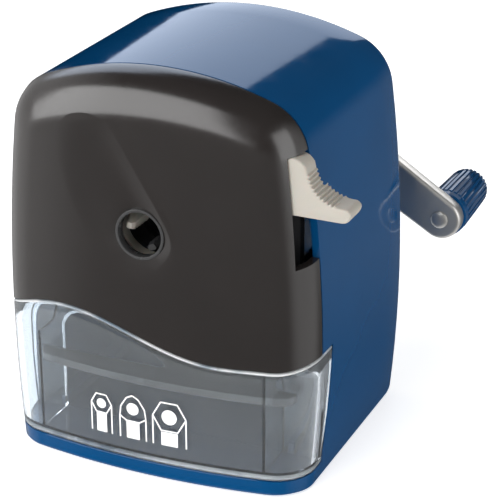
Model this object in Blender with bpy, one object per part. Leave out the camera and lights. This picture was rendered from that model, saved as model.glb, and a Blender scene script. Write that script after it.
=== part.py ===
"""Crank pencil sharpener with a rotating helical cutter, a three-jaw chuck and a clear drawer.

Every dimension below is in millimetres. build_object() turns millimetres into metres.
Axes: +X to the user's right, +Y away from the user, +Z up. The origin is on the underside
of the base, under the middle of the body. The pencil goes in along +Y at the front.
"""
import math

import bmesh
import bpy
from mathutils import Matrix, Vector

MM = 0.001

# Body ---------------------------------------------------------------------------------------
DEPTH = 76.7
FRONT_Y = -DEPTH / 2.0
REAR_Y = DEPTH / 2.0
REAR_HEIGHT = 115.0
FRONT_HEIGHT = 113.6
WIDEST_HALF = 46.05
WIDEST_Z = 38.35
SIDE_RADIUS = 409.5
SHOULDER_RADIUS = 15.2
CROWN_RADIUS = 92.9
BOW_RADIUS = 203.2
CORNER_RADIUS = 11.55
REAR_EDGE_RADIUS = 2.0
HEEL_RADIUS = 5.0
REAR_FLARE = 0.022
HOUSING_WALL = 2.0
COVER_WALL = 2.2
GAP = 0.3
BASE_TOP = 4.4
BASE_INSET = 0.02

# Rubber feet, let into the underside ---------------------------------------------------------
FOOT_RADIUS = 6.0
FOOT_PROUD = 0.5
FOOT_TOP = 1.0
FOOT_X = 33.0
FOOT_FRONT_Y = FRONT_Y + 16.0
FOOT_REAR_Y = REAR_Y - 12.0

# Seam between the housing and the front cover ------------------------------------------------
SEAM_Y = REAR_Y - 60.5
SEAM_LEAN = 0.03

# Edge between the front cover and the drawer, as height along the front outline ---------------
WAVE_KNOTS = ((-75.0, 39.1), (-63.0, 39.1), (-24.6, 47.2), (22.5, 37.0), (35.0, 37.2),
              (52.0, 39.3), (75.0, 39.1))
WAVE_GAP = 0.5
NOTCH_TOP_Y = REAR_Y - 54.3
NOTCH_SEAM_DISTANCE = 52.7
NOTCH_REAR_DISTANCE = 60.4
NOTCH_BOTTOM = (REAR_Y - 58.0, BASE_TOP)

# Pencil axis, scoop and guide ring -----------------------------------------------------------
PENCIL_Z = 71.4
BORE_RADIUS = 6.25
GUIDE_RADIUS = 7.0
GUIDE_FRONT = FRONT_Y + 0.2
GUIDE_REAR = FRONT_Y + 3.3
SCOOP_TOP = (-15.5, 93.5)
SCOOP_RADII = (9.8, 8.6)
SCOOP_DEPTH = 1.2
SCOOP_SLOPE = 2.4

# Lever slot in the cover ---------------------------------------------------------------------
SLOT_FRONT_Y = REAR_Y - 70.6
SLOT_BOTTOM_Z = (66.0, 67.9)
SLOT_TOP_Z = (95.9, 97.7)

# Chuck ---------------------------------------------------------------------------------------
CAM_FRONT_Y = FRONT_Y + 7.1
CAM_THICKNESS = 3.0
CAM_INNER = 8.6
CAM_OUTER = 19.0
CAM_PITCH = 8.8
CAM_TRAVEL = math.radians(15.0)
PIN_RADIUS = 1.1
PIN_CENTRE = 12.4
JAW_ANGLES = (172.0, 292.0, 52.0)
JAW_CLOSED = 3.5
JAW_HALF_WIDTH = 2.4
JAW_FRONT_Y = CAM_FRONT_Y + CAM_THICKNESS + 0.4
JAW_REAR_Y = JAW_FRONT_Y + 4.2
CHUCK_REAR_Y = JAW_REAR_Y + 2.8

# Mechanism frame and ring gear ---------------------------------------------------------------
FRAME_FRONT_Y = CHUCK_REAR_Y + 0.3
FRAME_REAR_Y = FRAME_FRONT_Y + 3.0
PILLAR_X = 33.0
PILLAR_Z = (53.0, 96.0)
PILLAR_RADIUS = 3.8
SCREW_HOLE = 1.9
SCREW_SHANK = 1.5
SCREW_HEAD = 2.9
RING_TEETH = 36
PINION_TEETH = 12
SHAFT_ANGLE = math.radians(11.5)
RING_PITCH = 18.0
RING_OUTER = 23.5
RING_FRONT_Y = FRAME_REAR_Y + 0.3
RING_FACE = 6.6
RING_MIDDLE_Y = RING_FRONT_Y + 4.4
PINION_FACE = 3.4
RING_REAR_Y = RING_FRONT_Y + 12.0
BEARING_BORE = 20.5

# Cutter and carrier --------------------------------------------------------------------------
CUTTER_RADIUS = 5.4
CUTTER_TEETH = 10
CUTTER_TWIST = math.radians(70.0)
AXLE_RADIUS = 1.5
AXLE_BORE = 1.8
CARRIER_FRONT_RADIUS = 20.1
CARRIER_REAR_RADIUS = 16.5
CARRIER_SHAFT_RADIUS = 3.0

# Rear drive ----------------------------------------------------------------------------------
DRIVE_MODULE = 0.8
CRANK_TEETH = 19
CARRIER_TEETH = 15
DRIVE_CENTRES = DRIVE_MODULE * (CRANK_TEETH + CARRIER_TEETH) / 2.0
CRANK_Z = PENCIL_Z + DRIVE_CENTRES
GEAR_FRONT_Y = REAR_Y - 13.0
GEAR_REAR_Y = REAR_Y - 8.4
PLATE_FRONT_Y = REAR_Y - 6.6
PLATE_REAR_Y = REAR_Y - HOUSING_WALL - 0.3
CRANK_SHAFT_RADIUS = 3.0
BUSH_RADIUS = 5.2
BUSH_HOLE = 5.5
PLATE_SCREW_HOLE = 1.5
PLATE_SCREW_X = 14.0
PLATE_SCREW_Z = 80.0

# Crank ---------------------------------------------------------------------------------------
KNOB_X = 53.8
KNOB_Z = 51.2
ARM_FRONT_Y = REAR_Y + 13.6
ARM_DEPTH = 4.2
ARM_SHEET = 1.0
ARM_HUB_RADIUS = 7.6
ARM_TIP_RADIUS = 6.2
KNOB_FRONT_Y = ARM_FRONT_Y + ARM_DEPTH + 0.4
KNOB_LENGTH = 26.8
KNOB_RADII = (6.9, 6.3)
KNOB_FLUTES = 24
RIVET_RADIUS = 1.6
RIVET_HEAD = 2.6

# Drawer --------------------------------------------------------------------------------------
DRAWER_WALL = 1.8
DRAWER_LEVELS = 3
BIN_HALF = 34.0
BIN_REAR_Y = REAR_Y - 15.0
BIN_TOP = 36.0
EAR_REAR_Y = NOTCH_TOP_Y - 4.0
RAIL_TOP = 8.5

# Lever ---------------------------------------------------------------------------------------
LEVER_FRONT_Y = SLOT_FRONT_Y + 0.45
LEVER_SLOT_REAR_Y = REAR_Y - 63.9
LEVER_OUTER_REAR_Y = REAR_Y - 61.7
THUMB_CENTRE = (53.3, 93.9)
THUMB_RADIUS = 9.2
THUMB_RIBS = 9
OVERHANG_X = 46.6


# Materials -----------------------------------------------------------------------------------
PALETTE = {
    "blue": ((0.012, 0.075, 0.22), 0.16, 0.0, 1.0),
    "charcoal": ((0.042, 0.038, 0.037), 0.32, 0.0, 1.0),
    "clear": ((0.86, 0.90, 0.93), 0.08, 0.0, 0.28),
    "ivory": ((0.66, 0.62, 0.54), 0.42, 0.0, 1.0),
    "black": ((0.02, 0.02, 0.022), 0.45, 0.0, 1.0),
    "grey": ((0.16, 0.16, 0.17), 0.5, 0.0, 1.0),
    "steel": ((0.55, 0.55, 0.56), 0.18, 1.0, 1.0),
    "cutter_steel": ((0.42, 0.42, 0.43), 0.3, 1.0, 1.0),
    "bronze": ((0.45, 0.29, 0.13), 0.35, 1.0, 1.0),
    "rubber": ((0.03, 0.03, 0.03), 0.85, 0.0, 1.0),
}


def clear_scene():
    for item in list(bpy.data.objects):
        bpy.data.objects.remove(item, do_unlink=True)


def make_material(name):
    colour, roughness, metallic, alpha = PALETTE[name]
    found = bpy.data.materials.get(name)
    if found:
        return found
    material = bpy.data.materials.new(name)
    material.use_nodes = True
    shader = material.node_tree.nodes["Principled BSDF"]
    shader.inputs["Base Color"].default_value = (*colour, 1.0)
    shader.inputs["Roughness"].default_value = roughness
    shader.inputs["Metallic"].default_value = metallic
    shader.inputs["Alpha"].default_value = alpha
    return material


def build_object(name, points, faces, material, origin=(0.0, 0.0, 0.0), smooth=True):
    """Make an object from points in millimetres, with its own origin at the given place."""
    centre = Vector(origin)
    mesh = bpy.data.meshes.new(name)
    mesh.from_pydata([(Vector(p) - centre) * MM for p in points], [], faces)
    form = bmesh.new()
    form.from_mesh(mesh)
    bmesh.ops.recalc_face_normals(form, faces=form.faces)
    form.to_mesh(mesh)
    form.free()
    mesh.materials.append(make_material(material))
    item = bpy.data.objects.new(name, mesh)
    item.location = centre * MM
    bpy.context.scene.collection.objects.link(item)
    bpy.context.view_layer.update()
    if smooth:
        mesh.shade_smooth()
        mesh.set_sharp_from_angle(angle=math.radians(32.0))
    return item


def combine(target, tool, operation):
    """Join, cut or intersect two objects for good, and remove the second one."""
    modifier = target.modifiers.new("combine", "BOOLEAN")
    modifier.operation = operation
    modifier.object = tool
    bpy.context.view_layer.update()
    graph = bpy.context.evaluated_depsgraph_get()
    result = bpy.data.meshes.new_from_object(target.evaluated_get(graph))
    target.modifiers.clear()
    target.data = result
    bpy.data.objects.remove(tool, do_unlink=True)
    bpy.context.view_layer.update()
    return target


def cut(target, *tools):
    for tool in tools:
        combine(target, tool, "DIFFERENCE")
    return target


def join(target, *tools):
    for tool in tools:
        combine(target, tool, "UNION")
    return target


def finish(item, material, angle=32.0):
    """Give a combined piece one material and clean smooth shading."""
    item.data.materials.clear()
    item.data.materials.append(make_material(material))
    item.data.shade_smooth()
    item.data.set_sharp_from_angle(angle=math.radians(angle))
    return item


# Simple solids -------------------------------------------------------------------------------
def loft(name, rings, material, origin=(0.0, 0.0, 0.0), closed_end=True, smooth=True):
    """Skin a list of closed rings with equal counts. The two end rings are filled."""
    count = len(rings[0])
    points = [p for ring in rings for p in ring]
    faces = []
    for r in range(len(rings) - 1):
        for i in range(count):
            j = (i + 1) % count
            faces.append((r * count + i, r * count + j, (r + 1) * count + j, (r + 1) * count + i))
    if closed_end:
        last = (len(rings) - 1) * count
        faces.append(tuple(range(count)))
        faces.append(tuple(range(last, last + count)))
    return build_object(name, points, faces, material, origin, smooth)


def prism(name, outline, y0, y1, material, origin=(0.0, 0.0, 0.0), smooth=True):
    """Extrude an (x, z) outline along Y."""
    rings = [[(x, y0, z) for x, z in outline], [(x, y1, z) for x, z in outline]]
    return loft(name, rings, material, origin, smooth=smooth)


def box(name, low, high, material="black"):
    outline = [(low[0], low[2]), (high[0], low[2]), (high[0], high[2]), (low[0], high[2])]
    return prism(name, outline, low[1], high[1], material, smooth=False)


def circle(radius, centre, segments, phase=0.0):
    cx, cz = centre
    steps = [phase + 2.0 * math.pi * i / segments for i in range(segments)]
    return [(cx + radius * math.cos(a), cz + radius * math.sin(a)) for a in steps]


def turned(name, profile, centre, material, segments=28, origin=None):
    """Turn an open (y, radius) profile about a Y axis and close both ends flat."""
    rings = [[(x, y, z) for x, z in circle(radius, centre, segments)] for y, radius in profile]
    return loft(name, rings, material, origin or (centre[0], 0.0, centre[1]))


def tube(name, profile, centre, material, segments=28, origin=None):
    """Turn a closed (y, radius) profile about a Y axis: a ring with a bore."""
    place = origin or (centre[0], 0.0, centre[1])
    rings = [[(x, y, z) for x, z in circle(radius, centre, segments)] for y, radius in profile]
    rings.append(rings[0])
    count = segments
    points = [p for ring in rings[:-1] for p in ring]
    faces = []
    turns = len(rings) - 1
    for r in range(turns):
        s = (r + 1) % turns
        for i in range(count):
            j = (i + 1) % count
            faces.append((r * count + i, r * count + j, s * count + j, s * count + i))
    return build_object(name, points, faces, material, place)


# Body shape ----------------------------------------------------------------------------------
def arc_points(centre, radius, start, end, steps):
    angles = [start + (end - start) * i / steps for i in range(steps + 1)]
    return [(centre[0] + radius * math.cos(a), centre[1] + radius * math.sin(a)) for a in angles]


def right_profile(inset=0.0, foot=0.0):
    """Right half of the front view: side arc, shoulder fillet and crown arc, bottom to top.

    Each entry is (x, z, outward x, outward z).
    """
    side_centre = Vector((WIDEST_HALF - SIDE_RADIUS, WIDEST_Z))
    crown_centre = Vector((0.0, FRONT_HEIGHT - CROWN_RADIUS))
    reach_side = SIDE_RADIUS - SHOULDER_RADIUS
    reach_crown = CROWN_RADIUS - SHOULDER_RADIUS
    span = crown_centre - side_centre
    along = (reach_side ** 2 - reach_crown ** 2 + span.length ** 2) / (2.0 * span.length)
    across = math.sqrt(reach_side ** 2 - along ** 2)
    unit = span.normalized()
    shoulder = side_centre + unit * along + Vector((-unit.y, unit.x)) * across
    if shoulder.x < 0.0 or shoulder.y < WIDEST_Z:
        shoulder = side_centre + unit * along - Vector((-unit.y, unit.x)) * across
    start = math.asin((foot - WIDEST_Z) / (SIDE_RADIUS - inset))
    join_side = math.atan2(shoulder.y - side_centre.y, shoulder.x - side_centre.x)
    join_crown = math.atan2(shoulder.y - crown_centre.y, shoulder.x - crown_centre.x)
    runs = ((side_centre, SIDE_RADIUS, start, join_side, 4),
            (shoulder, SHOULDER_RADIUS, join_side, join_crown, 5),
            (crown_centre, CROWN_RADIUS, join_crown, math.pi / 2.0, 4))
    result = []
    for centre, radius, first, last, steps in runs:
        for k in range(steps + 1):
            if result and k == 0:
                continue
            a = first + (last - first) * k / steps
            r = radius - inset
            result.append((centre[0] + r * math.cos(a), centre[1] + r * math.sin(a),
                           math.cos(a), math.sin(a)))
    return result


def full_profile(inset=0.0, foot=0.0):
    """The whole front view, from bottom right, over the top, to bottom left."""
    right = right_profile(inset, foot)
    left = [(-x, z, -nx, nz) for x, z, nx, nz in reversed(right[:-1])]
    return right + left


def top_slope(z, y):
    """The top rises a little from the front to the rear."""
    return z * (1.0 + (REAR_HEIGHT / FRONT_HEIGHT - 1.0) * (y - FRONT_Y) / DEPTH)


def flare(x, y):
    """Behind the seam the side walls spread a little towards the rear."""
    share = max(0.0, y - SEAM_Y) / (REAR_Y - SEAM_Y)
    return x * (1.0 + REAR_FLARE * share)


def bow(x, inset=0.0):
    """Y of the bowed front face."""
    radius = BOW_RADIUS - inset
    return FRONT_Y + BOW_RADIUS - math.sqrt(radius ** 2 - x ** 2)


def body_solid(name, inset, foot, rear_edge):
    """The whole outer form, or the same form moved inward, as one closed solid."""
    profile = full_profile(inset, foot)
    corner = CORNER_RADIUS - inset
    rear = REAR_Y - inset
    rings = []
    for turn in (0.0, 0.5, 1.0):
        shrink = rear_edge * (1.0 - math.sin(turn * math.pi / 2.0))
        back = rear - rear_edge * (1.0 - math.cos(turn * math.pi / 2.0))
        rings.append([(x - nx * shrink, back, max(z - nz * shrink, foot))
                      for x, z, nx, nz in profile])
    rings.append([(x, SEAM_Y, z) for x, _, z in rings[-1]])
    fillet = []
    for x, z, nx, nz in profile:
        inner_x = x - nx * corner
        inner_z = max(z - nz * corner, foot)
        centre_y = FRONT_Y + BOW_RADIUS - math.sqrt((BOW_RADIUS - CORNER_RADIUS) ** 2 - inner_x ** 2)
        lean = math.asin(abs(inner_x) / (BOW_RADIUS - CORNER_RADIUS)) * abs(nx)
        fillet.append((inner_x, inner_z, centre_y, math.pi / 2.0 - lean, nx, nz))
    for step in range(5):
        ring = []
        for inner_x, inner_z, centre_y, sweep, nx, nz in fillet:
            a = sweep * step / 4.0
            out = corner * math.cos(a)
            ring.append((inner_x + nx * out, centre_y - corner * math.sin(a),
                         max(inner_z + nz * out, foot)))
        rings.append(ring)
    edge = rings[-1]
    middle = (0.0, 60.0)
    for scale in (0.7, 0.35):
        ring = []
        for x, y, z in edge:
            px = middle[0] + (x - middle[0]) * scale
            pz = max(middle[1] + (z - middle[1]) * scale, foot)
            ring.append((px, bow(px, inset) + (y - bow(x, inset)) * scale ** 2, pz))
        rings.append(ring)
    rings = [[(flare(x, y), y, top_slope(z, y)) for x, y, z in ring] for ring in rings]
    count = len(profile)
    points = [p for ring in rings for p in ring]
    faces = []
    for r in range(len(rings) - 1):
        for i in range(count):
            j = (i + 1) % count
            faces.append((r * count + i, r * count + j, (r + 1) * count + j, (r + 1) * count + i))
    faces.append(tuple(range(count)))
    hub = len(points)
    points.append((middle[0], bow(0.0, inset), top_slope(middle[1], FRONT_Y)))
    last = (len(rings) - 1) * count
    for i in range(count):
        faces.append((last + i, last + (i + 1) % count, hub))
    return build_object(name, points, faces, "blue")


def seam_y(z):
    return SEAM_Y - SEAM_LEAN * z


def seam_block(name, offset, towards_front):
    """A large block on one side of the leaning seam plane."""
    far = -80.0 if towards_front else 80.0
    rings = []
    for x in (-70.0, 70.0):
        rings.append([(x, seam_y(-20.0) + offset, -20.0), (x, far, -20.0), (x, far, 140.0),
                      (x, seam_y(140.0) + offset, 140.0)])
    return loft(name, rings, "blue", smooth=False)


def front_outline(inset=0.0, level=20.0, rear_y=NOTCH_TOP_Y):
    """Plan of the front below the cover, left rear round to right rear, as (x, y, distance)."""
    sine = (level - WIDEST_Z) / SIDE_RADIUS
    half = WIDEST_HALF - SIDE_RADIUS * (1.0 - math.sqrt(1.0 - sine ** 2))
    inner_x = half - CORNER_RADIUS
    pivot_y = FRONT_Y + BOW_RADIUS
    centre_y = pivot_y - math.sqrt((BOW_RADIUS - CORNER_RADIUS) ** 2 - inner_x ** 2)
    lean = math.asin(inner_x / (BOW_RADIUS - CORNER_RADIUS))
    sweep = math.pi / 2.0 - lean
    radius = CORNER_RADIUS - inset
    right = []
    for k in range(9):
        a = lean * k / 8.0
        r = BOW_RADIUS - inset
        right.append((r * math.sin(a), pivot_y - r * math.cos(a), BOW_RADIUS * a))
    start = BOW_RADIUS * lean
    for k in range(1, 9):
        a = sweep * (1.0 - k / 8.0)
        right.append((inner_x + radius * math.cos(a), centre_y - radius * math.sin(a),
                      start + CORNER_RADIUS * sweep * k / 8.0))
    start += CORNER_RADIUS * sweep
    right.append((half - inset, rear_y, start + abs(rear_y - centre_y)))
    left = [(-x, y, -s) for x, y, s in reversed(right[1:])]
    return left + right


def wave(distance):
    """Height of the cover's lower edge at a distance along the front outline."""
    for (s0, z0), (s1, z1) in zip(WAVE_KNOTS[:-1], WAVE_KNOTS[1:]):
        if distance <= s1:
            t = (distance - s0) / (s1 - s0)
            return z0 + (z1 - z0) * (1.0 - math.cos(math.pi * t)) / 2.0
    return WAVE_KNOTS[-1][1]


def open_strip(name, sections, material="blue"):
    """Skin a run of equal sections that do not meet, filling both ends."""
    count = len(sections[0])
    points = [p for section in sections for p in section]
    faces = []
    for r in range(len(sections) - 1):
        for i in range(count):
            j = (i + 1) % count
            faces.append((r * count + i, r * count + j, (r + 1) * count + j, (r + 1) * count + i))
    last = (len(sections) - 1) * count
    faces.append(tuple(range(count)))
    faces.append(tuple(range(last, last + count)))
    return build_object(name, points, faces, material)


def wave_block(name, offset):
    """Everything under the wave, round the front wall, to cut the cover with."""
    outer = front_outline(-8.0, rear_y=REAR_Y - 40.0)
    inner = front_outline(7.0, rear_y=REAR_Y - 40.0)
    sections = []
    for (ox, oy, s), (ix, iy, _) in zip(outer, inner):
        top = wave(s) + offset
        sections.append([(ox, oy, -5.0), (ox, oy, top), (ix, iy, top), (ix, iy, -5.0)])
    return open_strip(name, sections)


# Casings -------------------------------------------------------------------------------------
def scoop_tool(name, grow, deepen):
    """The sloping trough that leads down to the pencil hole."""
    (x0, z0), (x1, z1) = (0.0, PENCIL_Z), SCOOP_TOP
    heading = math.atan2(z1 - z0, x1 - x0)
    rings = []
    for level in range(4):
        shrink = SCOOP_SLOPE * (level / 3.0) ** 1.5 - grow
        ring = []
        for k in range(13):
            a = heading + math.pi / 2.0 + math.pi * k / 12.0
            r = SCOOP_RADII[0] - shrink
            ring.append((x0 + r * math.cos(a), z0 + r * math.sin(a), 1.0))
        for k in range(13):
            a = heading - math.pi / 2.0 + math.pi * k / 12.0
            r = SCOOP_RADII[1] - shrink
            ring.append((x1 + r * math.cos(a), z1 + r * math.sin(a), 0.0))
        floor = []
        for x, z, share in ring:
            drop = (SCOOP_DEPTH + deepen) * share + (deepen + 0.15) * (1.0 - share)
            front = FRONT_Y - 3.0
            back = bow(x) + drop
            floor.append((x, front + (back - front) * level / 3.0, z))
        rings.append(floor)
    return loft(name, rings, "charcoal")


def slot_tool(name, low, high, front, rear, x0=30.0, x1=60.0):
    """The lever slot: its floor and roof fall slightly towards the front."""
    outline = [(front, low[0]), (rear, low[1]), (rear, high[1]), (front, high[0])]
    rings = [[(x, y, z) for y, z in outline] for x in (x0, x1)]
    return loft(name, rings, "charcoal", smooth=False)


def notch_tool(side):
    """Side opening for the drawer: its top carries on from the cover's wave."""
    seam_top = wave(side * NOTCH_SEAM_DISTANCE)
    outline = [(-60.0, NOTCH_BOTTOM[1]), NOTCH_BOTTOM, (NOTCH_TOP_Y, wave(side * NOTCH_REAR_DISTANCE)),
               (SEAM_Y - 1.4, seam_top), (-60.0, seam_top)]
    return loft("notch", [[(x, y, z) for y, z in outline] for x in (0.0, side * 70.0)], "blue")


def heel_tool():
    """Takes the sharp edge off the underside along the rear."""
    y, z = REAR_Y - HEEL_RADIUS, HEEL_RADIUS
    outline = [(y, -1.0), (REAR_Y + 1.0, -1.0), (REAR_Y + 1.0, z)]
    for k in range(7):
        a = math.pi / 2.0 * k / 6.0
        outline.append((y + HEEL_RADIUS * math.cos(a), z - HEEL_RADIUS * math.sin(a)))
    return loft("heel", [[(x, py, pz) for py, pz in outline] for x in (-60.0, 60.0)], "blue")


def base_plate():
    """The part of the base that runs forward under the drawer, bowed like the drawer's front."""
    rings = []
    for z in (0.0, BASE_TOP):
        rings.append([(x, y, z) for x, y, _ in front_outline(BASE_INSET, z, SEAM_Y + 8.0)])
    return loft("base_plate", rings, "blue")


def make_housing():
    outer = body_solid("housing", 0.0, 0.0, REAR_EDGE_RADIUS)
    cut(outer, heel_tool())
    inner = body_solid("cavity", HOUSING_WALL, BASE_TOP, 0.0)
    cut(outer, inner)
    base_front = box("keep_base", (-60.0, -60.0, -1.0), (60.0, 60.0, BASE_TOP))
    shell_rear = seam_block("keep_rear", 0.0, False)
    join(shell_rear, base_front)
    combine(outer, shell_rear, "INTERSECT")
    join(outer, base_plate())
    for side in (-1.0, 1.0):
        cut(outer, notch_tool(side))
    for side in (-1.0, 1.0):
        for z in PILLAR_Z:
            centre = (side * PILLAR_X, z)
            pillar = turned("pillar", [(FRAME_REAR_Y + 0.3, PILLAR_RADIUS),
                                       (REAR_Y - 1.0, PILLAR_RADIUS)], centre, "blue", 16)
            rib = box("rib", (centre[0] if side > 0 else -46.0, FRAME_REAR_Y + 2.0, z - 1.0),
                      (46.0 if side > 0 else centre[0], REAR_Y - 1.0, z + 1.0))
            keep = body_solid("inside", 0.8, 0.0, 0.0)
            combine(rib, keep, "INTERSECT")
            join(pillar, rib)
            join(outer, pillar)
            hole = turned("hole", [(FRAME_REAR_Y - 1.0, SCREW_HOLE),
                                   (FRAME_REAR_Y + 11.0, SCREW_HOLE)], centre, "blue", 16)
            cut(outer, hole)
    for side in (-1.0, 1.0):
        screw_hole = turned("hole", [(PLATE_REAR_Y - 1.0, PLATE_SCREW_HOLE), (REAR_Y - 0.6, PLATE_SCREW_HOLE)],
                            (side * PLATE_SCREW_X, PLATE_SCREW_Z), "blue", 12)
        cut(outer, screw_hole)
        near, far = sorted((side * (BIN_HALF + 0.6), side * (BIN_HALF + 2.4)))
        join(outer, box("rail", (near, SEAM_Y + 3.5, BASE_TOP - 1.0), (far, BIN_REAR_Y, RAIL_TOP)))
    bush_hole = turned("hole", [(REAR_Y - 5.0, BUSH_HOLE), (REAR_Y + 5.0, BUSH_HOLE)], (0.0, CRANK_Z),
                       "blue", 28)
    cut(outer, bush_hole)
    for x, y in foot_places():
        pocket = foot_solid("pocket", x, y, FOOT_RADIUS + GAP, -1.0, FOOT_TOP + GAP)
        cut(outer, pocket)
    return finish(outer, "blue")


def foot_places():
    return [(side * FOOT_X, y) for y in (FOOT_FRONT_Y, FOOT_REAR_Y) for side in (-1.0, 1.0)]


def foot_solid(name, x, y, radius, low, high, material="rubber"):
    rings = []
    for z, r in ((low, radius - 0.2), (high, radius)):
        rings.append([(px, py, z) for px, py in circle(r, (x, y), 20)])
    return loft(name, rings, material, origin=(x, y, low))


def make_feet():
    for index, (x, y) in enumerate(foot_places()):
        foot_solid(f"rubber_foot_{index + 1}", x, y, FOOT_RADIUS, -FOOT_PROUD, FOOT_TOP)


def make_cover():
    outer = body_solid("front_cover", 0.0, 0.0, 0.0)
    cut(outer, scoop_tool("scoop", 0.0, 0.0))
    inner = body_solid("cavity", COVER_WALL, -3.0, 0.0)
    cut(inner, scoop_tool("scoop", COVER_WALL, COVER_WALL))
    cut(outer, inner)
    combine(outer, seam_block("keep_front", -GAP, True), "INTERSECT")
    cut(outer, wave_block("wave", 0.0))
    bore = turned("bore", [(FRONT_Y - 4.0, GUIDE_RADIUS + GAP), (FRONT_Y + 9.0, GUIDE_RADIUS + GAP)],
                  (0.0, PENCIL_Z), "charcoal", 32)
    slot = slot_tool("slot", SLOT_BOTTOM_Z, SLOT_TOP_Z, SLOT_FRONT_Y, SLOT_FRONT_Y + 12.0)
    cut(outer, bore, slot)
    return finish(outer, "charcoal")


def make_guide_ring():
    profile = [(GUIDE_FRONT + 0.3, GUIDE_RADIUS), (GUIDE_FRONT, GUIDE_RADIUS - 0.3),
               (GUIDE_FRONT, BORE_RADIUS + 0.3), (GUIDE_FRONT + 0.4, BORE_RADIUS),
               (GUIDE_REAR, BORE_RADIUS), (GUIDE_REAR, GUIDE_RADIUS)]
    return tube("pencil_guide_ring", profile, (0.0, PENCIL_Z), "charcoal", 32)


# Drawer --------------------------------------------------------------------------------------
def notch_front(z):
    """Y of the housing's front edge beside the drawer, less the working gap."""
    low_y, low_z = NOTCH_BOTTOM
    share = (z - low_z) / (wave(NOTCH_REAR_DISTANCE) - low_z)
    return low_y + (NOTCH_TOP_Y - low_y) * share - 0.4


def drawer_shell():
    """The clear front wall, whose upper edge follows the cover's wave."""
    base = BASE_TOP + 0.4
    distances = [s for _, _, s in front_outline()]
    sections = []
    for index, s in enumerate(distances):
        top = wave(s) - WAVE_GAP
        outside = []
        inside = []
        for k in range(DRAWER_LEVELS + 1):
            z = base + (top - base) * k / DRAWER_LEVELS
            rear = notch_front(z)
            x, y, _ = front_outline(0.0, z, rear)[index]
            outside.append((x, y, z))
            x, y, _ = front_outline(DRAWER_WALL, z, rear)[index]
            inside.append((x, y, z))
        sections.append(outside + inside[::-1])
    return open_strip("shavings_drawer", sections, "clear")


def make_drawer():
    shell = drawer_shell()
    base = BASE_TOP + 0.4
    floor_outline = front_outline(0.9, base + 1.0, NOTCH_BOTTOM[0] - 0.5)
    floor_rings = [[(x, y, z) for x, y, _ in floor_outline] for z in (base, base + DRAWER_WALL)]
    floor = loft("floor", floor_rings, "clear", smooth=False)
    tray = box("tray", (-BIN_HALF, FRONT_Y + 3.0, base), (BIN_HALF, BIN_REAR_Y, BIN_TOP))
    hollow = box("hollow", (-BIN_HALF + DRAWER_WALL, FRONT_Y - 6.0, base + DRAWER_WALL),
                 (BIN_HALF - DRAWER_WALL, BIN_REAR_Y - DRAWER_WALL, BIN_TOP + 5.0))
    cut(tray, hollow)
    trim_rings = []
    for z in (-5.0, 60.0):
        trim_rings.append([(x, y, z) for x, y, _ in front_outline(1.0, 5.0, BIN_REAR_Y + 4.0)])
    trim = loft("trim", trim_rings, "clear", smooth=False)
    combine(tray, trim, "INTERSECT")
    join(shell, floor)
    join(shell, tray)
    for side in (-1.0, 1.0):
        x0, x1 = sorted((side * (BIN_HALF - 0.5), side * (WIDEST_HALF - 2.2)))
        join(shell, box("ear", (x0, EAR_REAR_Y - 1.6, base + 0.5), (x1, EAR_REAR_Y, BIN_TOP - 1.0)))
    return finish(shell, "clear")


# Chuck ---------------------------------------------------------------------------------------
def rotate_outline(outline, angle, centre):
    cx, cz = centre
    c, s = math.cos(angle), math.sin(angle)
    return [(cx + (x * c - z * s), cz + (x * s + z * c)) for x, z in outline]


def cam_slot(angle):
    """Spiral slot outline: one end for closed jaws, the other for open jaws."""
    half = PIN_RADIUS + 0.3
    left, right = [], []
    steps = 8
    first, last = -0.02, CAM_TRAVEL + 0.02
    for k in range(steps + 1):
        t = first + (last - first) * k / steps
        radius = PIN_CENTRE + CAM_PITCH * t
        a = angle + t
        px, pz = radius * math.cos(a), radius * math.sin(a)
        dx = CAM_PITCH * math.cos(a) - radius * math.sin(a)
        dz = CAM_PITCH * math.sin(a) + radius * math.cos(a)
        size = math.hypot(dx, dz)
        nx, nz = -dz / size, dx / size
        ends = {0: -half, steps: half}
        shift = ends.get(k, 0.0)
        px += dx / size * shift
        pz += dz / size * shift
        left.append((px + nx * half, PENCIL_Z + pz + nz * half))
        right.append((px - nx * half, PENCIL_Z + pz - nz * half))
    return left + right[::-1]


def thumb_outline():
    """Lever end in (x, z): crest, ribbed hollow for the thumb, tip and flat underside."""
    points = [(38.0, 80.9), (38.0, 95.6), (40.8, 95.9), (42.6, 95.1), (43.8, 93.9)]
    cx, cz = THUMB_CENTRE
    start, end = math.radians(187.0), math.radians(262.0)
    for k in range(THUMB_RIBS):
        for share, lift in ((0.0, 0.0), (0.42, 0.0), (0.58, 0.45), (0.92, 0.45)):
            a = start + (end - start) * (k + share) / THUMB_RIBS
            r = THUMB_RADIUS + lift
            points.append((cx + r * math.cos(a), cz + r * math.sin(a)))
    points += [(53.0, 84.75), (54.6, 84.6), (55.6, 84.0), (55.9, 83.1), (55.3, 81.3), (54.5, 80.8),
               (53.4, 80.6)]
    return points


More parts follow.
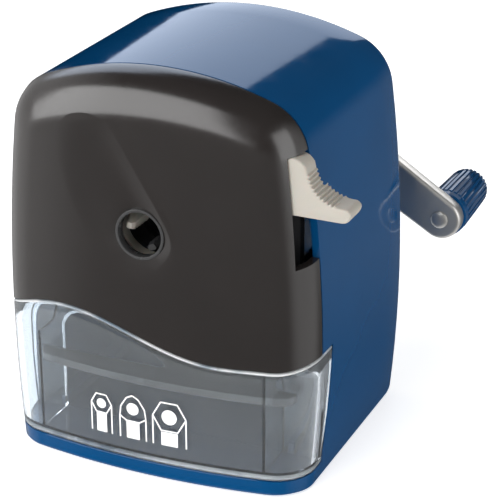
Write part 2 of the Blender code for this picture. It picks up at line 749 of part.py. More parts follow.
def make_lever():
    pivot = (0.0, CAM_FRONT_Y, PENCIL_Z)
    rear = CAM_FRONT_Y + CAM_THICKNESS
    cam = tube("clamp_lever", [(CAM_FRONT_Y, CAM_OUTER), (CAM_FRONT_Y, CAM_INNER),
                               (rear, CAM_INNER), (rear, CAM_OUTER)], (0.0, PENCIL_Z), "ivory", 36, pivot)
    arm = prism("arm", [(15.5, 76.5), (38.6, 81.2), (38.6, 94.6), (11.8, 84.5)],
                CAM_FRONT_Y + 0.2, rear - 0.2, "ivory", smooth=False)
    whole = thumb_outline()
    thumb = prism("thumb", whole, LEVER_FRONT_Y, LEVER_OUTER_REAR_Y, "ivory", smooth=False)
    cut(thumb, box("inner_step", (30.0, LEVER_SLOT_REAR_Y, 70.0), (OVERHANG_X, LEVER_OUTER_REAR_Y + 1.0, 110.0)))
    join(cam, arm, thumb)
    for angle in JAW_ANGLES:
        tool = prism("slot", cam_slot(math.radians(angle)), CAM_FRONT_Y - 2.0, rear + 2.0, "ivory")
        cut(cam, tool)
    tab = box("tab", (25.0, CAM_FRONT_Y + 0.1, 88.0), (28.6, rear - 0.1, 94.6))
    join(cam, tab)
    return finish(cam, "ivory", 25.0)


def make_jaws():
    names = ("jaw_left", "jaw_lower", "jaw_upper")
    skins = ("ivory", "black", "black")
    for name, skin, degrees in zip(names, skins, JAW_ANGLES):
        angle = math.radians(degrees)
        half = JAW_HALF_WIDTH
        inner, outer = JAW_CLOSED, 15.6
        outline = [(inner, -0.7), (inner + 0.9, -half), (outer, -half), (outer, half),
                   (inner + 0.9, half), (inner, 0.7)]
        turned_outline = rotate_outline(outline, angle, (0.0, PENCIL_Z))
        body = prism(name, turned_outline, JAW_FRONT_Y, JAW_REAR_Y, skin, smooth=False)
        tip = [(inner, -0.7), (inner + 0.9, -half), (inner + 2.2, -half), (inner + 2.2, half),
               (inner + 0.9, half), (inner, 0.7)]
        turned_tip = rotate_outline(tip, angle, (0.0, PENCIL_Z))
        join(body, prism("tip", turned_tip, GUIDE_REAR + 0.4, JAW_FRONT_Y + 0.5, skin, smooth=False))
        pin_at = (PIN_CENTRE * math.cos(angle), PENCIL_Z + PIN_CENTRE * math.sin(angle))
        join(body, turned("pin", [(CAM_FRONT_Y + 0.2, PIN_RADIUS), (JAW_FRONT_Y + 0.5, PIN_RADIUS)],
                          pin_at, skin, 12))
        finish(body, skin)


def make_chuck_base():
    """Fixed disc with a pair of guide rails beside each jaw."""
    plate = tube("chuck_base", [(JAW_REAR_Y + 0.3, 20.0), (JAW_REAR_Y + 0.3, 7.2),
                                (CHUCK_REAR_Y, 7.2), (CHUCK_REAR_Y, 20.0)], (0.0, PENCIL_Z), "black", 40)
    for degrees in JAW_ANGLES:
        for side in (-1.0, 1.0):
            near, far = sorted((side * (JAW_HALF_WIDTH + 0.35), side * (JAW_HALF_WIDTH + 1.9)))
            rail = [(8.6, near), (18.6, near), (18.6, far), (8.6, far)]
            outline = rotate_outline(rail, math.radians(degrees), (0.0, PENCIL_Z))
            join(plate, prism("rail", outline, JAW_FRONT_Y + 0.1, JAW_REAR_Y + 1.0, "black", smooth=False))
    return finish(plate, "black")


def make_spring():
    """Return spring between the lever's tab and the post on the frame."""
    wire, coil, turns = 0.35, 2.0, 5.0
    x, y = 26.8, CAM_FRONT_Y + CAM_THICKNESS + 2.9
    low, high = 90.4, 99.6
    steps = int(turns * 9)
    sides = 5
    rings = []
    for k in range(steps + 1):
        t = k / steps
        a = 2.0 * math.pi * turns * t
        centre = Vector((x + coil * math.cos(a), y + coil * math.sin(a), low + (high - low) * t))
        outward = Vector((math.cos(a), math.sin(a), 0.0))
        ring = []
        for i in range(sides):
            b = 2.0 * math.pi * i / sides
            ring.append(tuple(centre + (outward * math.cos(b) + Vector((0, 0, 1)) * math.sin(b)) * wire))
        rings.append(ring)
    return loft("lever_spring", rings, "steel", origin=(x, y, high))


# Gears ---------------------------------------------------------------------------------------
def involute_outline(teeth, module, backlash, addendum=0.9, dedendum=1.15, phase=0.0, grow=1.0,
                     flank_points=3):
    """External spur gear outline about the origin, thinned by the backlash at the pitch circle."""
    pressure = math.radians(20.0)
    pitch = module * teeth / 2.0
    base = pitch * math.cos(pressure)
    outer = pitch + addendum * module
    root = pitch - dedendum * module
    half_pitch = math.pi / (2.0 * teeth) - backlash / (2.0 * pitch)
    roll = math.tan(pressure) - pressure
    flank = []
    for k in range(flank_points):
        radius = max(base, root) + (outer - max(base, root)) * k / (flank_points - 1.0)
        share = math.acos(min(1.0, base / radius))
        flank.append((radius, half_pitch + roll - (math.tan(share) - share)))
    if root < base:
        flank.insert(0, (root, flank[0][1]))
    points = []
    for tooth in range(teeth):
        middle = phase + 2.0 * math.pi * tooth / teeth
        for radius, half in flank:
            points.append((middle - half, radius))
        for radius, half in reversed(flank):
            points.append((middle + half, radius))
    return [(r * grow * math.cos(a), r * grow * math.sin(a)) for a, r in points]


def place_outline(outline, y, centre):
    return [(x + centre[0], y, z + centre[1]) for x, z in outline]


def gear_with_bore(name, outline, bore, y0, y1, centre, material, bore_segments=24):
    origin = (centre[0], y0, centre[1])
    body = loft(name, [place_outline(outline, y0, centre), place_outline(outline, y1, centre)],
                material, origin)
    hole = turned("bore", [(y0 - 1.0, bore), (y1 + 1.0, bore)], centre, material, bore_segments)
    cut(body, hole)
    return finish(body, material)


def cone_angles():
    """Pitch cone half angles of the internal ring and the cutter pinion."""
    ratio = PINION_TEETH / RING_TEETH
    ring = math.atan(math.sin(SHAFT_ANGLE) / (math.cos(SHAFT_ANGLE) - ratio))
    return ring, ring - SHAFT_ANGLE


RING_CONE, PINION_CONE = cone_angles()
APEX_Y = RING_MIDDLE_Y + RING_PITCH / math.tan(RING_CONE)
CONE_LENGTH = RING_PITCH / math.sin(RING_CONE)
CUTTER_ANGLE = math.radians(90.0)


def cutter_frame():
    """Matrix from the cutter's own axes (+Y along its axle) to the body's axes."""
    tilt = Matrix.Rotation(SHAFT_ANGLE, 4, Vector((math.cos(CUTTER_ANGLE + math.pi / 2.0), 0.0,
                                                   math.sin(CUTTER_ANGLE + math.pi / 2.0))))
    forward = tilt @ Vector((0.0, -1.0, 0.0))
    side = Vector((math.cos(CUTTER_ANGLE), 0.0, math.sin(CUTTER_ANGLE)))
    if forward.dot(side) < 0.0:
        tilt = Matrix.Rotation(-SHAFT_ANGLE, 4, Vector((math.cos(CUTTER_ANGLE + math.pi / 2.0), 0.0,
                                                        math.sin(CUTTER_ANGLE + math.pi / 2.0))))
    return Matrix.Translation((0.0, APEX_Y, PENCIL_Z)) @ tilt


def on_cutter(points):
    frame = cutter_frame()
    return [tuple(frame @ Vector(p)) for p in points]


def cutter_axis_point(distance):
    """A point on the cutter's axis at a distance in front of the cone apex."""
    return tuple(cutter_frame() @ Vector((0.0, -distance, 0.0)))


def make_ring_gear():
    """Internal bevel teeth in front, bearing bore for the carrier behind."""
    module = 2.0 * RING_PITCH / RING_TEETH
    centre = (0.0, PENCIL_Z)
    rings = []
    for y in (RING_FRONT_Y - 1.0, RING_FRONT_Y + RING_FACE):
        grow = (APEX_Y - y) / (APEX_Y - RING_MIDDLE_Y)
        hollow = involute_outline(RING_TEETH, module, -0.3, addendum=1.15, dedendum=0.8, grow=grow,
                                  flank_points=2)
        rings.append(place_outline(hollow, y, centre))
    hollow = loft("teeth", rings, "grey")
    body = turned("ring_gear", [(RING_FRONT_Y, RING_OUTER), (RING_REAR_Y, RING_OUTER)], centre, "grey", 40)
    cut(body, hollow)
    bore = turned("bore", [(RING_FRONT_Y + RING_FACE - 0.6, BEARING_BORE), (RING_REAR_Y + 1.0, BEARING_BORE)],
                  centre, "grey", 40)
    cut(body, bore)
    return finish(body, "grey")


def make_pinion():
    module = 2.0 * RING_PITCH / RING_TEETH
    half = PINION_FACE / 2.0
    rings = []
    middle = CONE_LENGTH * math.cos(PINION_CONE)
    for distance in (middle + half, middle - half):
        grow = distance / middle
        phase = CUTTER_ANGLE
        outline = involute_outline(PINION_TEETH, module, 0.3, addendum=0.8, dedendum=1.1, phase=phase,
                                   grow=grow)
        rings.append(on_cutter([(x, -distance, z) for x, z in outline]))
    body = loft("cutter_pinion", rings, "black", origin=cutter_axis_point(middle))
    hole_rings = [on_cutter([(x, -d, z) for x, z in circle(AXLE_BORE, (0.0, 0.0), 16)])
                  for d in (middle + half + 1.0, middle - half - 1.0)]
    cut(body, loft("bore", hole_rings, "black"))
    return finish(body, "black")


CUTTER_FRONT = 51.2
CUTTER_REAR = 28.0


def make_cutter():
    """Helical milling cutter: saw-tooth section twisted along its axle."""
    steps = 10
    rings = []
    for k in range(steps + 1):
        t = k / steps
        distance = CUTTER_FRONT + (CUTTER_REAR - CUTTER_FRONT) * t
        ring = []
        for tooth in range(CUTTER_TEETH):
            for share, radius in ((0.0, CUTTER_RADIUS), (0.25, CUTTER_RADIUS - 0.15),
                                  (0.55, CUTTER_RADIUS - 1.1), (0.95, CUTTER_RADIUS - 1.2)):
                a = 2.0 * math.pi * (tooth + share) / CUTTER_TEETH + CUTTER_TWIST * t
                ring.append((radius * math.cos(a), -distance, radius * math.sin(a)))
        rings.append(on_cutter(ring))
    middle = (CUTTER_FRONT + CUTTER_REAR) / 2.0
    body = loft("helical_cutter", rings, "cutter_steel", origin=cutter_axis_point(middle))
    bore = [on_cutter([(x, -d, z) for x, z in circle(AXLE_BORE, (0.0, 0.0), 16)])
            for d in (CUTTER_FRONT + 1.0, CUTTER_REAR - 1.0)]
    cut(body, loft("bore", bore, "cutter_steel"))
    return finish(body, "cutter_steel")


def make_cutter_axle():
    """Plain pin through the carrier, the cutter and its pinion."""
    middle = CONE_LENGTH * math.cos(PINION_CONE)
    ends = (middle + PINION_FACE / 2.0, CUTTER_REAR - 4.6)
    rings = [on_cutter([(x, -d, z) for x, z in circle(AXLE_RADIUS, (0.0, 0.0), 16)]) for d in ends]
    return loft("cutter_axle", rings, "steel", origin=cutter_axis_point(middle))


CARRIER_FRONT_Y = RING_FRONT_Y + RING_FACE + 0.4
CARRIER_FRONT_REAR_Y = CARRIER_FRONT_Y + 4.0
CARRIER_BACK_Y = REAR_Y - 18.6
CARRIER_BACK_REAR_Y = CARRIER_BACK_Y + 4.0
CARRIER_SHAFT_END_Y = REAR_Y - 3.4


def make_carrier():
    """Rotating cage: front disc, two bridges, back disc and drive shaft."""
    centre = (0.0, PENCIL_Z)
    pivot = (0.0, CARRIER_FRONT_Y, PENCIL_Z)
    profile = [(CARRIER_FRONT_Y, CARRIER_FRONT_RADIUS), (CARRIER_FRONT_REAR_Y, CARRIER_FRONT_RADIUS)]
    cage = turned("cutter_carrier", profile, centre, "grey", 40, pivot)
    back = turned("back", [(CARRIER_BACK_Y, CARRIER_REAR_RADIUS), (CARRIER_BACK_REAR_Y, CARRIER_REAR_RADIUS)],
                  centre, "grey", 32)
    shaft = turned("shaft", [(CARRIER_BACK_REAR_Y - 1.0, CARRIER_SHAFT_RADIUS),
                             (CARRIER_SHAFT_END_Y, CARRIER_SHAFT_RADIUS)], centre, "grey", 20)
    join(cage, back, shaft)
    for middle in (math.radians(205.0), math.radians(335.0)):
        outline = []
        for k in range(5):
            a = middle + math.radians(26.0) * (k / 4.0 - 0.5) * 2.0
            outline.append((16.0 * math.cos(a), PENCIL_Z + 16.0 * math.sin(a)))
        for k in range(5):
            a = middle - math.radians(26.0) * (k / 4.0 - 0.5) * 2.0
            outline.append((12.6 * math.cos(a), PENCIL_Z + 12.6 * math.sin(a)))
        join(cage, prism("bridge", outline, CARRIER_FRONT_REAR_Y - 1.0, CARRIER_BACK_Y + 1.0, "grey"))
    mouth = turned("mouth", [(CARRIER_FRONT_Y - 1.0, 6.8), (CARRIER_FRONT_REAR_Y + 1.0, 6.8)], centre,
                   "grey", 28)
    cut(cage, mouth)
    middle = CONE_LENGTH * math.cos(PINION_CONE)
    bore = [on_cutter([(x, -d, z) for x, z in circle(AXLE_RADIUS + 0.25, (0.0, 0.0), 16)])
            for d in (middle + 4.0, CUTTER_REAR - 5.0)]
    cut(cage, loft("bore", bore, "grey"))
    return finish(cage, "grey")


def make_drive_gears():
    """Crank gear above, carrier gear below, in mesh between the carrier and the rear wall."""
    lower = (0.0, PENCIL_Z)
    upper = (0.0, CRANK_Z)
    phase_low = math.pi / 2.0
    phase_high = -math.pi / 2.0 + math.pi / CRANK_TEETH
    outline = involute_outline(CARRIER_TEETH, DRIVE_MODULE, 0.22, phase=phase_low)
    gear_with_bore("carrier_gear", outline, CARRIER_SHAFT_RADIUS + GAP, GEAR_FRONT_Y, GEAR_REAR_Y, lower,
                   "black", 20)
    outline = involute_outline(CRANK_TEETH, DRIVE_MODULE, 0.22, phase=phase_high)
    gear_with_bore("crank_gear", outline, CRANK_SHAFT_RADIUS + GAP, GEAR_FRONT_Y, GEAR_REAR_Y, upper,
                   "steel", 20)


# Mechanism frame -----------------------------------------------------------------------------
def make_frame():
    """Bulkhead that carries the chuck in front and the ring gear behind."""
    outline = [(-38.0, 48.6), (38.0, 48.6), (38.0, 101.0), (24.0, 105.5), (-24.0, 105.5), (-38.0, 101.0)]
    plate = prism("mechanism_frame", outline, FRAME_FRONT_Y, FRAME_REAR_Y, "grey", smooth=False)
    mouth = turned("mouth", [(FRAME_FRONT_Y - 1.0, 7.2), (FRAME_REAR_Y + 1.0, 7.2)], (0.0, PENCIL_Z),
                   "grey", 28)
    cut(plate, mouth)
    post_y = CAM_FRONT_Y + CAM_THICKNESS + 0.4
    join(plate, box("post", (25.0, post_y, 100.3), (28.6, FRAME_FRONT_Y + 1.0, 103.0)))
    for side in (-1.0, 1.0):
        for z in PILLAR_Z:
            hole = turned("hole", [(FRAME_FRONT_Y - 1.0, SCREW_HOLE), (FRAME_REAR_Y + 1.0, SCREW_HOLE)],
                          (side * PILLAR_X, z), "grey", 16)
            cut(plate, hole)
    return finish(plate, "grey")


def cross_recess(centre, y_head, depth, towards_front=True):
    """Two crossed bars that cut a cross recess in a screw head."""
    sign = -1.0 if towards_front else 1.0
    y0, y1 = sorted((y_head + sign * 1.0, y_head - sign * depth))
    bars = []
    for dx, dz in ((1.5, 0.3), (0.3, 1.5)):
        bars.append(box("bar", (centre[0] - dx, y0, centre[1] - dz), (centre[0] + dx, y1, centre[1] + dz)))
    return join(bars[0], bars[1])


def make_screw(name, centre, head_y, shank_end_y, head_height=1.8, radius=SCREW_SHANK,
               head=SCREW_HEAD):
    """Pan-head screw. The head stands on head_y and points away from the shank."""
    sign = -1.0 if shank_end_y > head_y else 1.0
    top = head_y + sign * head_height
    profile = [(top, head * 0.7), (head_y + sign * 0.5, head), (head_y, head), (head_y, radius), (shank_end_y, radius)]
    body = turned(name, profile, centre, "steel", 12)
    cut(body, cross_recess(centre, top, 1.0, sign < 0))
    return finish(body, "steel")


def make_frame_screws():
    index = 1
    for z in PILLAR_Z:
        for side in (-1.0, 1.0):
            make_screw(f"frame_screw_{index}", (side * PILLAR_X, z), FRAME_FRONT_Y - 0.1, FRAME_REAR_Y + 9.5)
            index += 1


def make_gear_plate():
    """Bearing plate on the inside of the rear wall."""
    outline = [(-20.0, 62.0), (20.0, 62.0), (20.0, 90.0), (11.0, 97.0), (-11.0, 97.0), (-20.0, 90.0)]
    plate = prism("gear_plate", outline, PLATE_FRONT_Y, PLATE_REAR_Y, "grey", smooth=False)
    holes = [(0.0, PENCIL_Z, BUSH_HOLE, 28), (0.0, CRANK_Z, BUSH_HOLE, 28)]
    holes += [(side * PLATE_SCREW_X, PLATE_SCREW_Z, PLATE_SCREW_HOLE, 12) for side in (-1.0, 1.0)]
    for x, z, radius, segments in holes:
        hole = turned("hole", [(PLATE_FRONT_Y - 1.0, radius), (PLATE_REAR_Y + 1.0, radius)], (x, z),
                      "grey", segments)
        cut(plate, hole)
    return finish(plate, "grey")


def make_plate_screws():
    for index, side in enumerate((-1.0, 1.0)):
        make_screw(f"plate_screw_{index + 1}", (side * PLATE_SCREW_X, PLATE_SCREW_Z), PLATE_FRONT_Y - 0.1,
                   REAR_Y - 1.0, 1.4, 1.2, 2.3)


def make_bushes():
    inner = CRANK_SHAFT_RADIUS + 0.25
    front = PLATE_FRONT_Y - 0.6
    tube("carrier_bush", [(front, BUSH_RADIUS), (front, inner), (PLATE_REAR_Y, inner),
                          (PLATE_REAR_Y, BUSH_RADIUS)], (0.0, PENCIL_Z), "bronze", 24)
    outside = REAR_Y + 0.3
    tube("crank_bush", [(front, BUSH_RADIUS), (front, inner), (outside + 1.3, inner), (outside + 1.3, 7.0),
                        (outside, 7.0), (outside, BUSH_RADIUS)], (0.0, CRANK_Z), "bronze", 24)


# Crank ---------------------------------------------------------------------------------------
def arm_outline(inset=0.0):
    """Tapered arm with round ends, from the crank axis to the knob axis."""
    dx, dz = KNOB_X, KNOB_Z - CRANK_Z
    length = math.hypot(dx, dz)
    heading = math.atan2(dz, dx)
    lean = math.asin((ARM_HUB_RADIUS - ARM_TIP_RADIUS) / length)
    hub = ARM_HUB_RADIUS - inset
    tip = ARM_TIP_RADIUS - inset
    points = arc_points((0.0, CRANK_Z), hub, heading + math.pi / 2.0 - lean,
                        heading + 3.0 * math.pi / 2.0 + lean, 14)
    points += arc_points((KNOB_X, KNOB_Z), tip, heading - math.pi / 2.0 + lean,
                         heading + math.pi / 2.0 - lean, 14)
    return points


def make_crank_arm():
    """Pressed steel channel: a flat web with a flange all round."""
    pivot = (0.0, ARM_FRONT_Y, CRANK_Z)
    rim = 0.8
    rings = []
    for y, inset in ((ARM_FRONT_Y, rim), (ARM_FRONT_Y + rim * 0.3, rim * 0.3), (ARM_FRONT_Y + rim, 0.0),
                     (ARM_FRONT_Y + ARM_DEPTH, 0.0)):
        rings.append([(x, y, z) for x, z in arm_outline(inset)])
    arm = loft("crank_arm", rings, "steel", pivot)
    inner = [(x, z) for x, z in arm_outline(ARM_SHEET)]
    cut(arm, prism("hollow", inner, ARM_FRONT_Y + ARM_SHEET, ARM_FRONT_Y + ARM_DEPTH + 1.0, "steel"))
    for centre, radius in (((0.0, CRANK_Z), 2.3), ((KNOB_X, KNOB_Z), RIVET_RADIUS + GAP)):
        hole = turned("hole", [(ARM_FRONT_Y - 1.0, radius), (ARM_FRONT_Y + 3.0, radius)], centre, "steel", 20)
        cut(arm, hole)
    return finish(arm, "steel", 40.0)


def make_crank_shaft():
    """Shaft from the crank gear out through the rear wall, with a threaded bore for the arm screw."""
    front, end = GEAR_FRONT_Y - 0.6, ARM_FRONT_Y - 0.3
    collar = REAR_Y + 2.0
    profile = [(front, CRANK_SHAFT_RADIUS), (collar, CRANK_SHAFT_RADIUS), (collar, 5.4), (end, 5.4)]
    shaft = turned("crank_shaft", profile, (0.0, CRANK_Z), "steel", 24, (0.0, front, CRANK_Z))
    cut(shaft, turned("tap", [(end - 7.0, 1.8), (end + 1.0, 1.8)], (0.0, CRANK_Z), "steel", 16))
    return finish(shaft, "steel")


def make_arm_screw():
    seat = ARM_FRONT_Y + ARM_SHEET + 0.2
    return make_screw("arm_screw", (0.0, CRANK_Z), seat, ARM_FRONT_Y - 6.0, 2.2, 1.5, 4.0)


def make_rivet():
    """Knob axle: head on the front of the arm, plain pin through the knob."""
    head = ARM_FRONT_Y - 0.15
    profile = [(head - 0.9, RIVET_HEAD - 0.5), (head - 0.6, RIVET_HEAD), (head, RIVET_HEAD),
               (head, RIVET_RADIUS), (KNOB_FRONT_Y + KNOB_LENGTH - 5.0, RIVET_RADIUS)]
    return turned("knob_rivet", profile, (KNOB_X, KNOB_Z), "steel", 20)


def make_knob():
    """Fluted, slightly tapered grip with a plain collar and a domed end."""
    centre = (KNOB_X, KNOB_Z)
    end = KNOB_FRONT_Y + KNOB_LENGTH
    big, small = KNOB_RADII
    stations = [(KNOB_FRONT_Y, big - 0.2, 0.0), (KNOB_FRONT_Y + 2.2, big - 0.1, 0.0),
                (KNOB_FRONT_Y + 2.6, big, 0.45), (end - 3.0, small, 0.45), (end - 1.2, small - 0.7, 0.3),
                (end, small - 2.6, 0.0)]
    rings = []
    count = KNOB_FLUTES * 2
    for y, radius, flute in stations:
        ring = []
        for k in range(count):
            a = 2.0 * math.pi * k / count
            r = radius - (flute if k % 2 else 0.0)
            ring.append((centre[0] + r * math.cos(a), y, centre[1] + r * math.sin(a)))
        rings.append(ring)
    knob = loft("knob", rings, "blue", (KNOB_X, KNOB_FRONT_Y, KNOB_Z))
    bore = turned("bore", [(KNOB_FRONT_Y - 1.0, RIVET_RADIUS + GAP),
                           (end - 4.4, RIVET_RADIUS + GAP)], centre, "blue", 16)
    cut(knob, bore)
    return finish(knob, "blue", 25.0)


def build():
    clear_scene()
    make_housing()
    make_feet()
    make_cover()
    make_guide_ring()
    make_drawer()
    make_lever()
    make_jaws()
    make_chuck_base()
    make_spring()
    make_frame()
    make_frame_screws()
    make_ring_gear()
    make_pinion()
    make_cutter()
    make_cutter_axle()
    make_carrier()
    make_drive_gears()
    make_gear_plate()
    make_plate_screws()
    make_bushes()
    make_crank_shaft()
    make_arm_screw()
    make_crank_arm()
    make_rivet()
    make_knob()


build()
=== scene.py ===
import math

import bmesh
import bpy
import numpy as np
from mathutils import Matrix, Vector


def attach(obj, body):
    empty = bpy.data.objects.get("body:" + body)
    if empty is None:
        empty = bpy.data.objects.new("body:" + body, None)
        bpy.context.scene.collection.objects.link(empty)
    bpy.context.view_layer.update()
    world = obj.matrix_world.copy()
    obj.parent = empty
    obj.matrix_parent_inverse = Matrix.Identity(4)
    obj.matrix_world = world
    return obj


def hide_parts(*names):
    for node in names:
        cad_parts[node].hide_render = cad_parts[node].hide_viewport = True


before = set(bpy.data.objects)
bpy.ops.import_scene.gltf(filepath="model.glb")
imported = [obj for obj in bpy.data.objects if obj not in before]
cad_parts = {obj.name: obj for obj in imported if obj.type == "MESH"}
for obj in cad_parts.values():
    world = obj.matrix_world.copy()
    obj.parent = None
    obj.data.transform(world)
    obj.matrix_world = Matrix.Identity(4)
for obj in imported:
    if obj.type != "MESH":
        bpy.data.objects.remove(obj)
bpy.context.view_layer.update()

MM = 0.001

# Sizes, in millimetres. +X right, +Y away from the user, +Z up ---
DEPTH = 76.7
FRONT_Y = -DEPTH / 2.0
REAR_Y = DEPTH / 2.0
REAR_HEIGHT = 115.0
FRONT_HEIGHT = 113.6
WIDEST_HALF = 46.05
WIDEST_Z = 38.35
SIDE_RADIUS = 409.5
SHOULDER_RADIUS = 15.2
CROWN_RADIUS = 92.9
BOW_RADIUS = 203.2
CORNER_RADIUS = 11.55
REAR_FLARE = 0.0187
FRONT_CENTRE_Z = 60.0
SEAM_Y = REAR_Y - 60.5
SEAM_LEAN = 0.03
SEAM_GAP = 0.3
PENCIL_Z = 71.4
PENCIL_AXIS = (0.0, PENCIL_Z)
CRANK_Z = 85.0
CRANK_AXIS = (0.0, CRANK_Z)
FAR = 70.0

# Housing
HOUSING_WALL = 2.0
BASE_TOP = 4.4
HEEL_RADIUS = 5.0
BASE_EDGE = ((0.0, 0.62), (0.15, 0.3), (0.45, 0.08), (0.9, 0.02), (BASE_TOP - 0.3, 0.02),
             (BASE_TOP, 0.2))
NOTCH_TOP_Y = REAR_Y - 54.3
NOTCH_BOTTOM = (REAR_Y - 58.0, BASE_TOP)
NOTCH_SEAM_DISTANCE = 52.7
NOTCH_REAR_DISTANCE = 60.4
RAIL_X = (34.6, 36.4)
RAIL_TOP = 8.5
BOSS_RADII = (8.7, 9.4)
FOOT_X = 33.0
PILLAR_X = 33.0
PILLAR_HEIGHTS = (53.0, 96.0)
PILLAR_FRONT_Y = FRONT_Y + 21.1
PILLAR_RADIUS = 3.8
PILLAR_BORE = 1.9

# Cover. The wave's knots are (distance along the front, z), and the scoop's outline is (x, z)
COVER_WALL = 2.2
COVER_FOOT = 24.0
WAVE_KNOTS = ((-75.0, 39.1), (-63.0, 39.1), (-24.6, 47.2), (22.5, 37.0), (35.0, 37.2),
              (52.0, 39.3), (75.0, 39.1))
SCOOP_OUTLINE = ((8.9, 71.4), (8.2, 66.5), (3.2, 61.4), (-4.4, 60.0), (-11.7, 66.0),
                 (-18.8, 75.5), (-23.2, 86.9), (-24.0, 96.0), (-21.0, 100.9), (-15.3, 102.6),
                 (-9.6, 101.4), (-6.4, 98.2), (-0.7, 89.0), (6.1, 77.6))
SCOOP_END = (-15.5, 98.9)
SCOOP_DEPTH = 1.4
SCOOP_LENGTH = 36.0
GUIDE_RADIUS = 7.0
BORE_RADIUS = 6.25
GUIDE_FRONT = FRONT_Y + 0.2
GUIDE_REAR = FRONT_Y + 3.3
SLOT_FRONT_Y = REAR_Y - 70.6
SLOT_REAR_Y = SLOT_FRONT_Y + 12.0
SLOT_BOTTOM_Z = (66.0, 67.9)
SLOT_TOP_Z = (95.9, 97.7)

# Drawer and its print. A pencil symbol is (x, half width, top, whether its sides are round)
WAVE_GAP = 0.5
DRAWER_BASE = BASE_TOP + 0.4
DRAWER_WALL = 1.8
DRAWER_FLOOR = 1.8
DRAWER_SIDE_STEPS = 4
RIM_RADIUS = 0.45
RIM_DROP = 0.5
TRAY_HALF = 34.0
TRAY_REAR_Y = REAR_Y - 15.0
TRAY_TOP = 36.0
TRAY_WALL = 0.8
BEAD_INSET = 0.98
BEAD_HALF_WIDTH = 0.92
PRINT_DEPTH = 0.04
PRINT_RAISE = 0.03
SYMBOL_FOOT = 10.6
SYMBOLS = ((-13.2, 3.2, 22.6, False), (-3.4, 4.0, 23.8, True), (7.6, 4.9, 24.4, False))

# Lever and jaws. A jaw is (name, direction in degrees, look)
CAM_FRONT_Y = FRONT_Y + 7.1
CAM_REAR_Y = CAM_FRONT_Y + 3.0
CAM_RADII = (8.6, 19.0)
THUMB_REAR_Y = REAR_Y - 61.7
JAW_FRONT_Y = CAM_FRONT_Y + 3.4
JAW_REAR_Y = JAW_FRONT_Y + 4.2
JAW_OUTER = 15.6
JAW_INNER = 3.5
JAW_HALF_WIDTH = 2.4
JAW_TEETH = 5
JAWS = (("jaw_left", 172.0, "ivory"), ("jaw_lower", 292.0, "black"), ("jaw_upper", 52.0, "black"))

# Crank
KNOB_X = 53.8
KNOB_Z = 51.2
KNOB_AXIS = (KNOB_X, KNOB_Z)
ARM_FRONT_Y = REAR_Y + 13.6
ARM_DEPTH = 4.2
ARM_SHEET = 1.0
ARM_HUB_RADIUS = 7.6
ARM_TIP_RADIUS = 6.2
SPINDLE_RADIUS = 3.0
COLLAR_RADIUS = 5.4
BUSH_RADIUS = 5.2
KNOB_FRONT_Y = ARM_FRONT_Y + ARM_DEPTH + 0.4
KNOB_LENGTH = 26.8
KNOB_RADII = (6.9, 6.3)
KNOB_BORE = 1.9
FLUTES = 28

# Camera, in metres
CAMERA_PLACE = (0.18851, -0.40152, 0.23920)
CAMERA_TARGET = (0.01793, -0.00708, 0.05823)


# Node materials --------------------------------------------
def fill(node, values):
    """Set inputs by name, with _ for a space."""
    for key, value in values.items():
        node.inputs[key.replace("_", " ")].default_value = value


class Graph:
    """Adds and links the nodes of one tree."""

    def __init__(self, tree):
        self.tree = tree

    def add(self, kind, **inputs):
        node = self.tree.nodes.new(kind)
        fill(node, inputs)
        return node

    def link(self, source, target):
        self.tree.links.new(source, target)

    def ramp(self, source, stops):
        node = self.add("ShaderNodeValToRGB")
        while len(node.color_ramp.elements) < len(stops):
            node.color_ramp.elements.new(0.5)
        for element, (place, colour) in zip(node.color_ramp.elements, stops):
            element.position = place
            element.color = (*colour, 1.0)
        self.link(source, node.inputs["Fac"])
        return node.outputs["Color"]

    def remap(self, source, low, high, start=0.3, end=0.7):
        node = self.add("ShaderNodeMapRange", From_Min=start, From_Max=end, To_Min=low, To_Max=high)
        self.link(source, node.inputs["Value"])
        return node.outputs["Result"]

    def calculate(self, operation, first, second):
        node = self.add("ShaderNodeMath")
        node.operation = operation
        self.link(first, node.inputs[0])
        self.link(second, node.inputs[1])
        return node.outputs[0]


class Look(Graph):
    """A material whose colour, roughness and relief vary with noise.

    Each call ends with the noise's scale, detail, roughness and stretch. Lengths are in metres.
    """

    def __init__(self, name, **values):
        self.material = bpy.data.materials.new(name)
        self.material.use_nodes = True
        super().__init__(self.material.node_tree)
        self.shader = self.tree.nodes["Principled BSDF"]
        fill(self.shader, values)
        self.coordinates = self.add("ShaderNodeTexCoord").outputs["Object"]

    def noise(self, scale, detail=3.0, roughness=0.55, stretch=None):
        texture = self.add("ShaderNodeTexNoise", Scale=scale, Detail=detail, Roughness=roughness)
        place = self.coordinates
        if stretch:
            mapping = self.add("ShaderNodeMapping", Scale=stretch)
            self.link(place, mapping.inputs["Vector"])
            place = mapping.outputs["Vector"]
        self.link(place, texture.inputs["Vector"])
        return texture.outputs["Fac"]

    def colour(self, stops, *noise):
        self.link(self.ramp(self.noise(*noise), stops), self.shader.inputs["Base Color"])

    def roughness(self, low, high, *noise):
        self.link(self.remap(self.noise(*noise), low, high), self.shader.inputs["Roughness"])

    def bump(self, distance, strength, *noise):
        node = self.add("ShaderNodeBump", Distance=distance, Strength=strength)
        self.link(self.noise(*noise), node.inputs["Height"])
        self.link(node.outputs["Normal"], self.shader.inputs["Normal"])


def shades(colour, spread):
    """Ramp stops a little darker and a little lighter than a colour."""
    low = tuple(c * (1.0 - spread) for c in colour)
    high = tuple(min(1.0, c * (1.0 + spread)) for c in colour)
    return ((0.3, low), (0.7, high))


def blue_plastic():
    m = Look("blue_gloss_plastic", IOR=1.5, Specular_IOR_Level=0.3)
    m.colour(shades((0.0018, 0.056, 0.165), 0.05), 28.0)
    m.roughness(0.05, 0.09, 160.0, 5.0)
    m.bump(0.000012, 0.35, 420.0, 2.0)
    return m.material


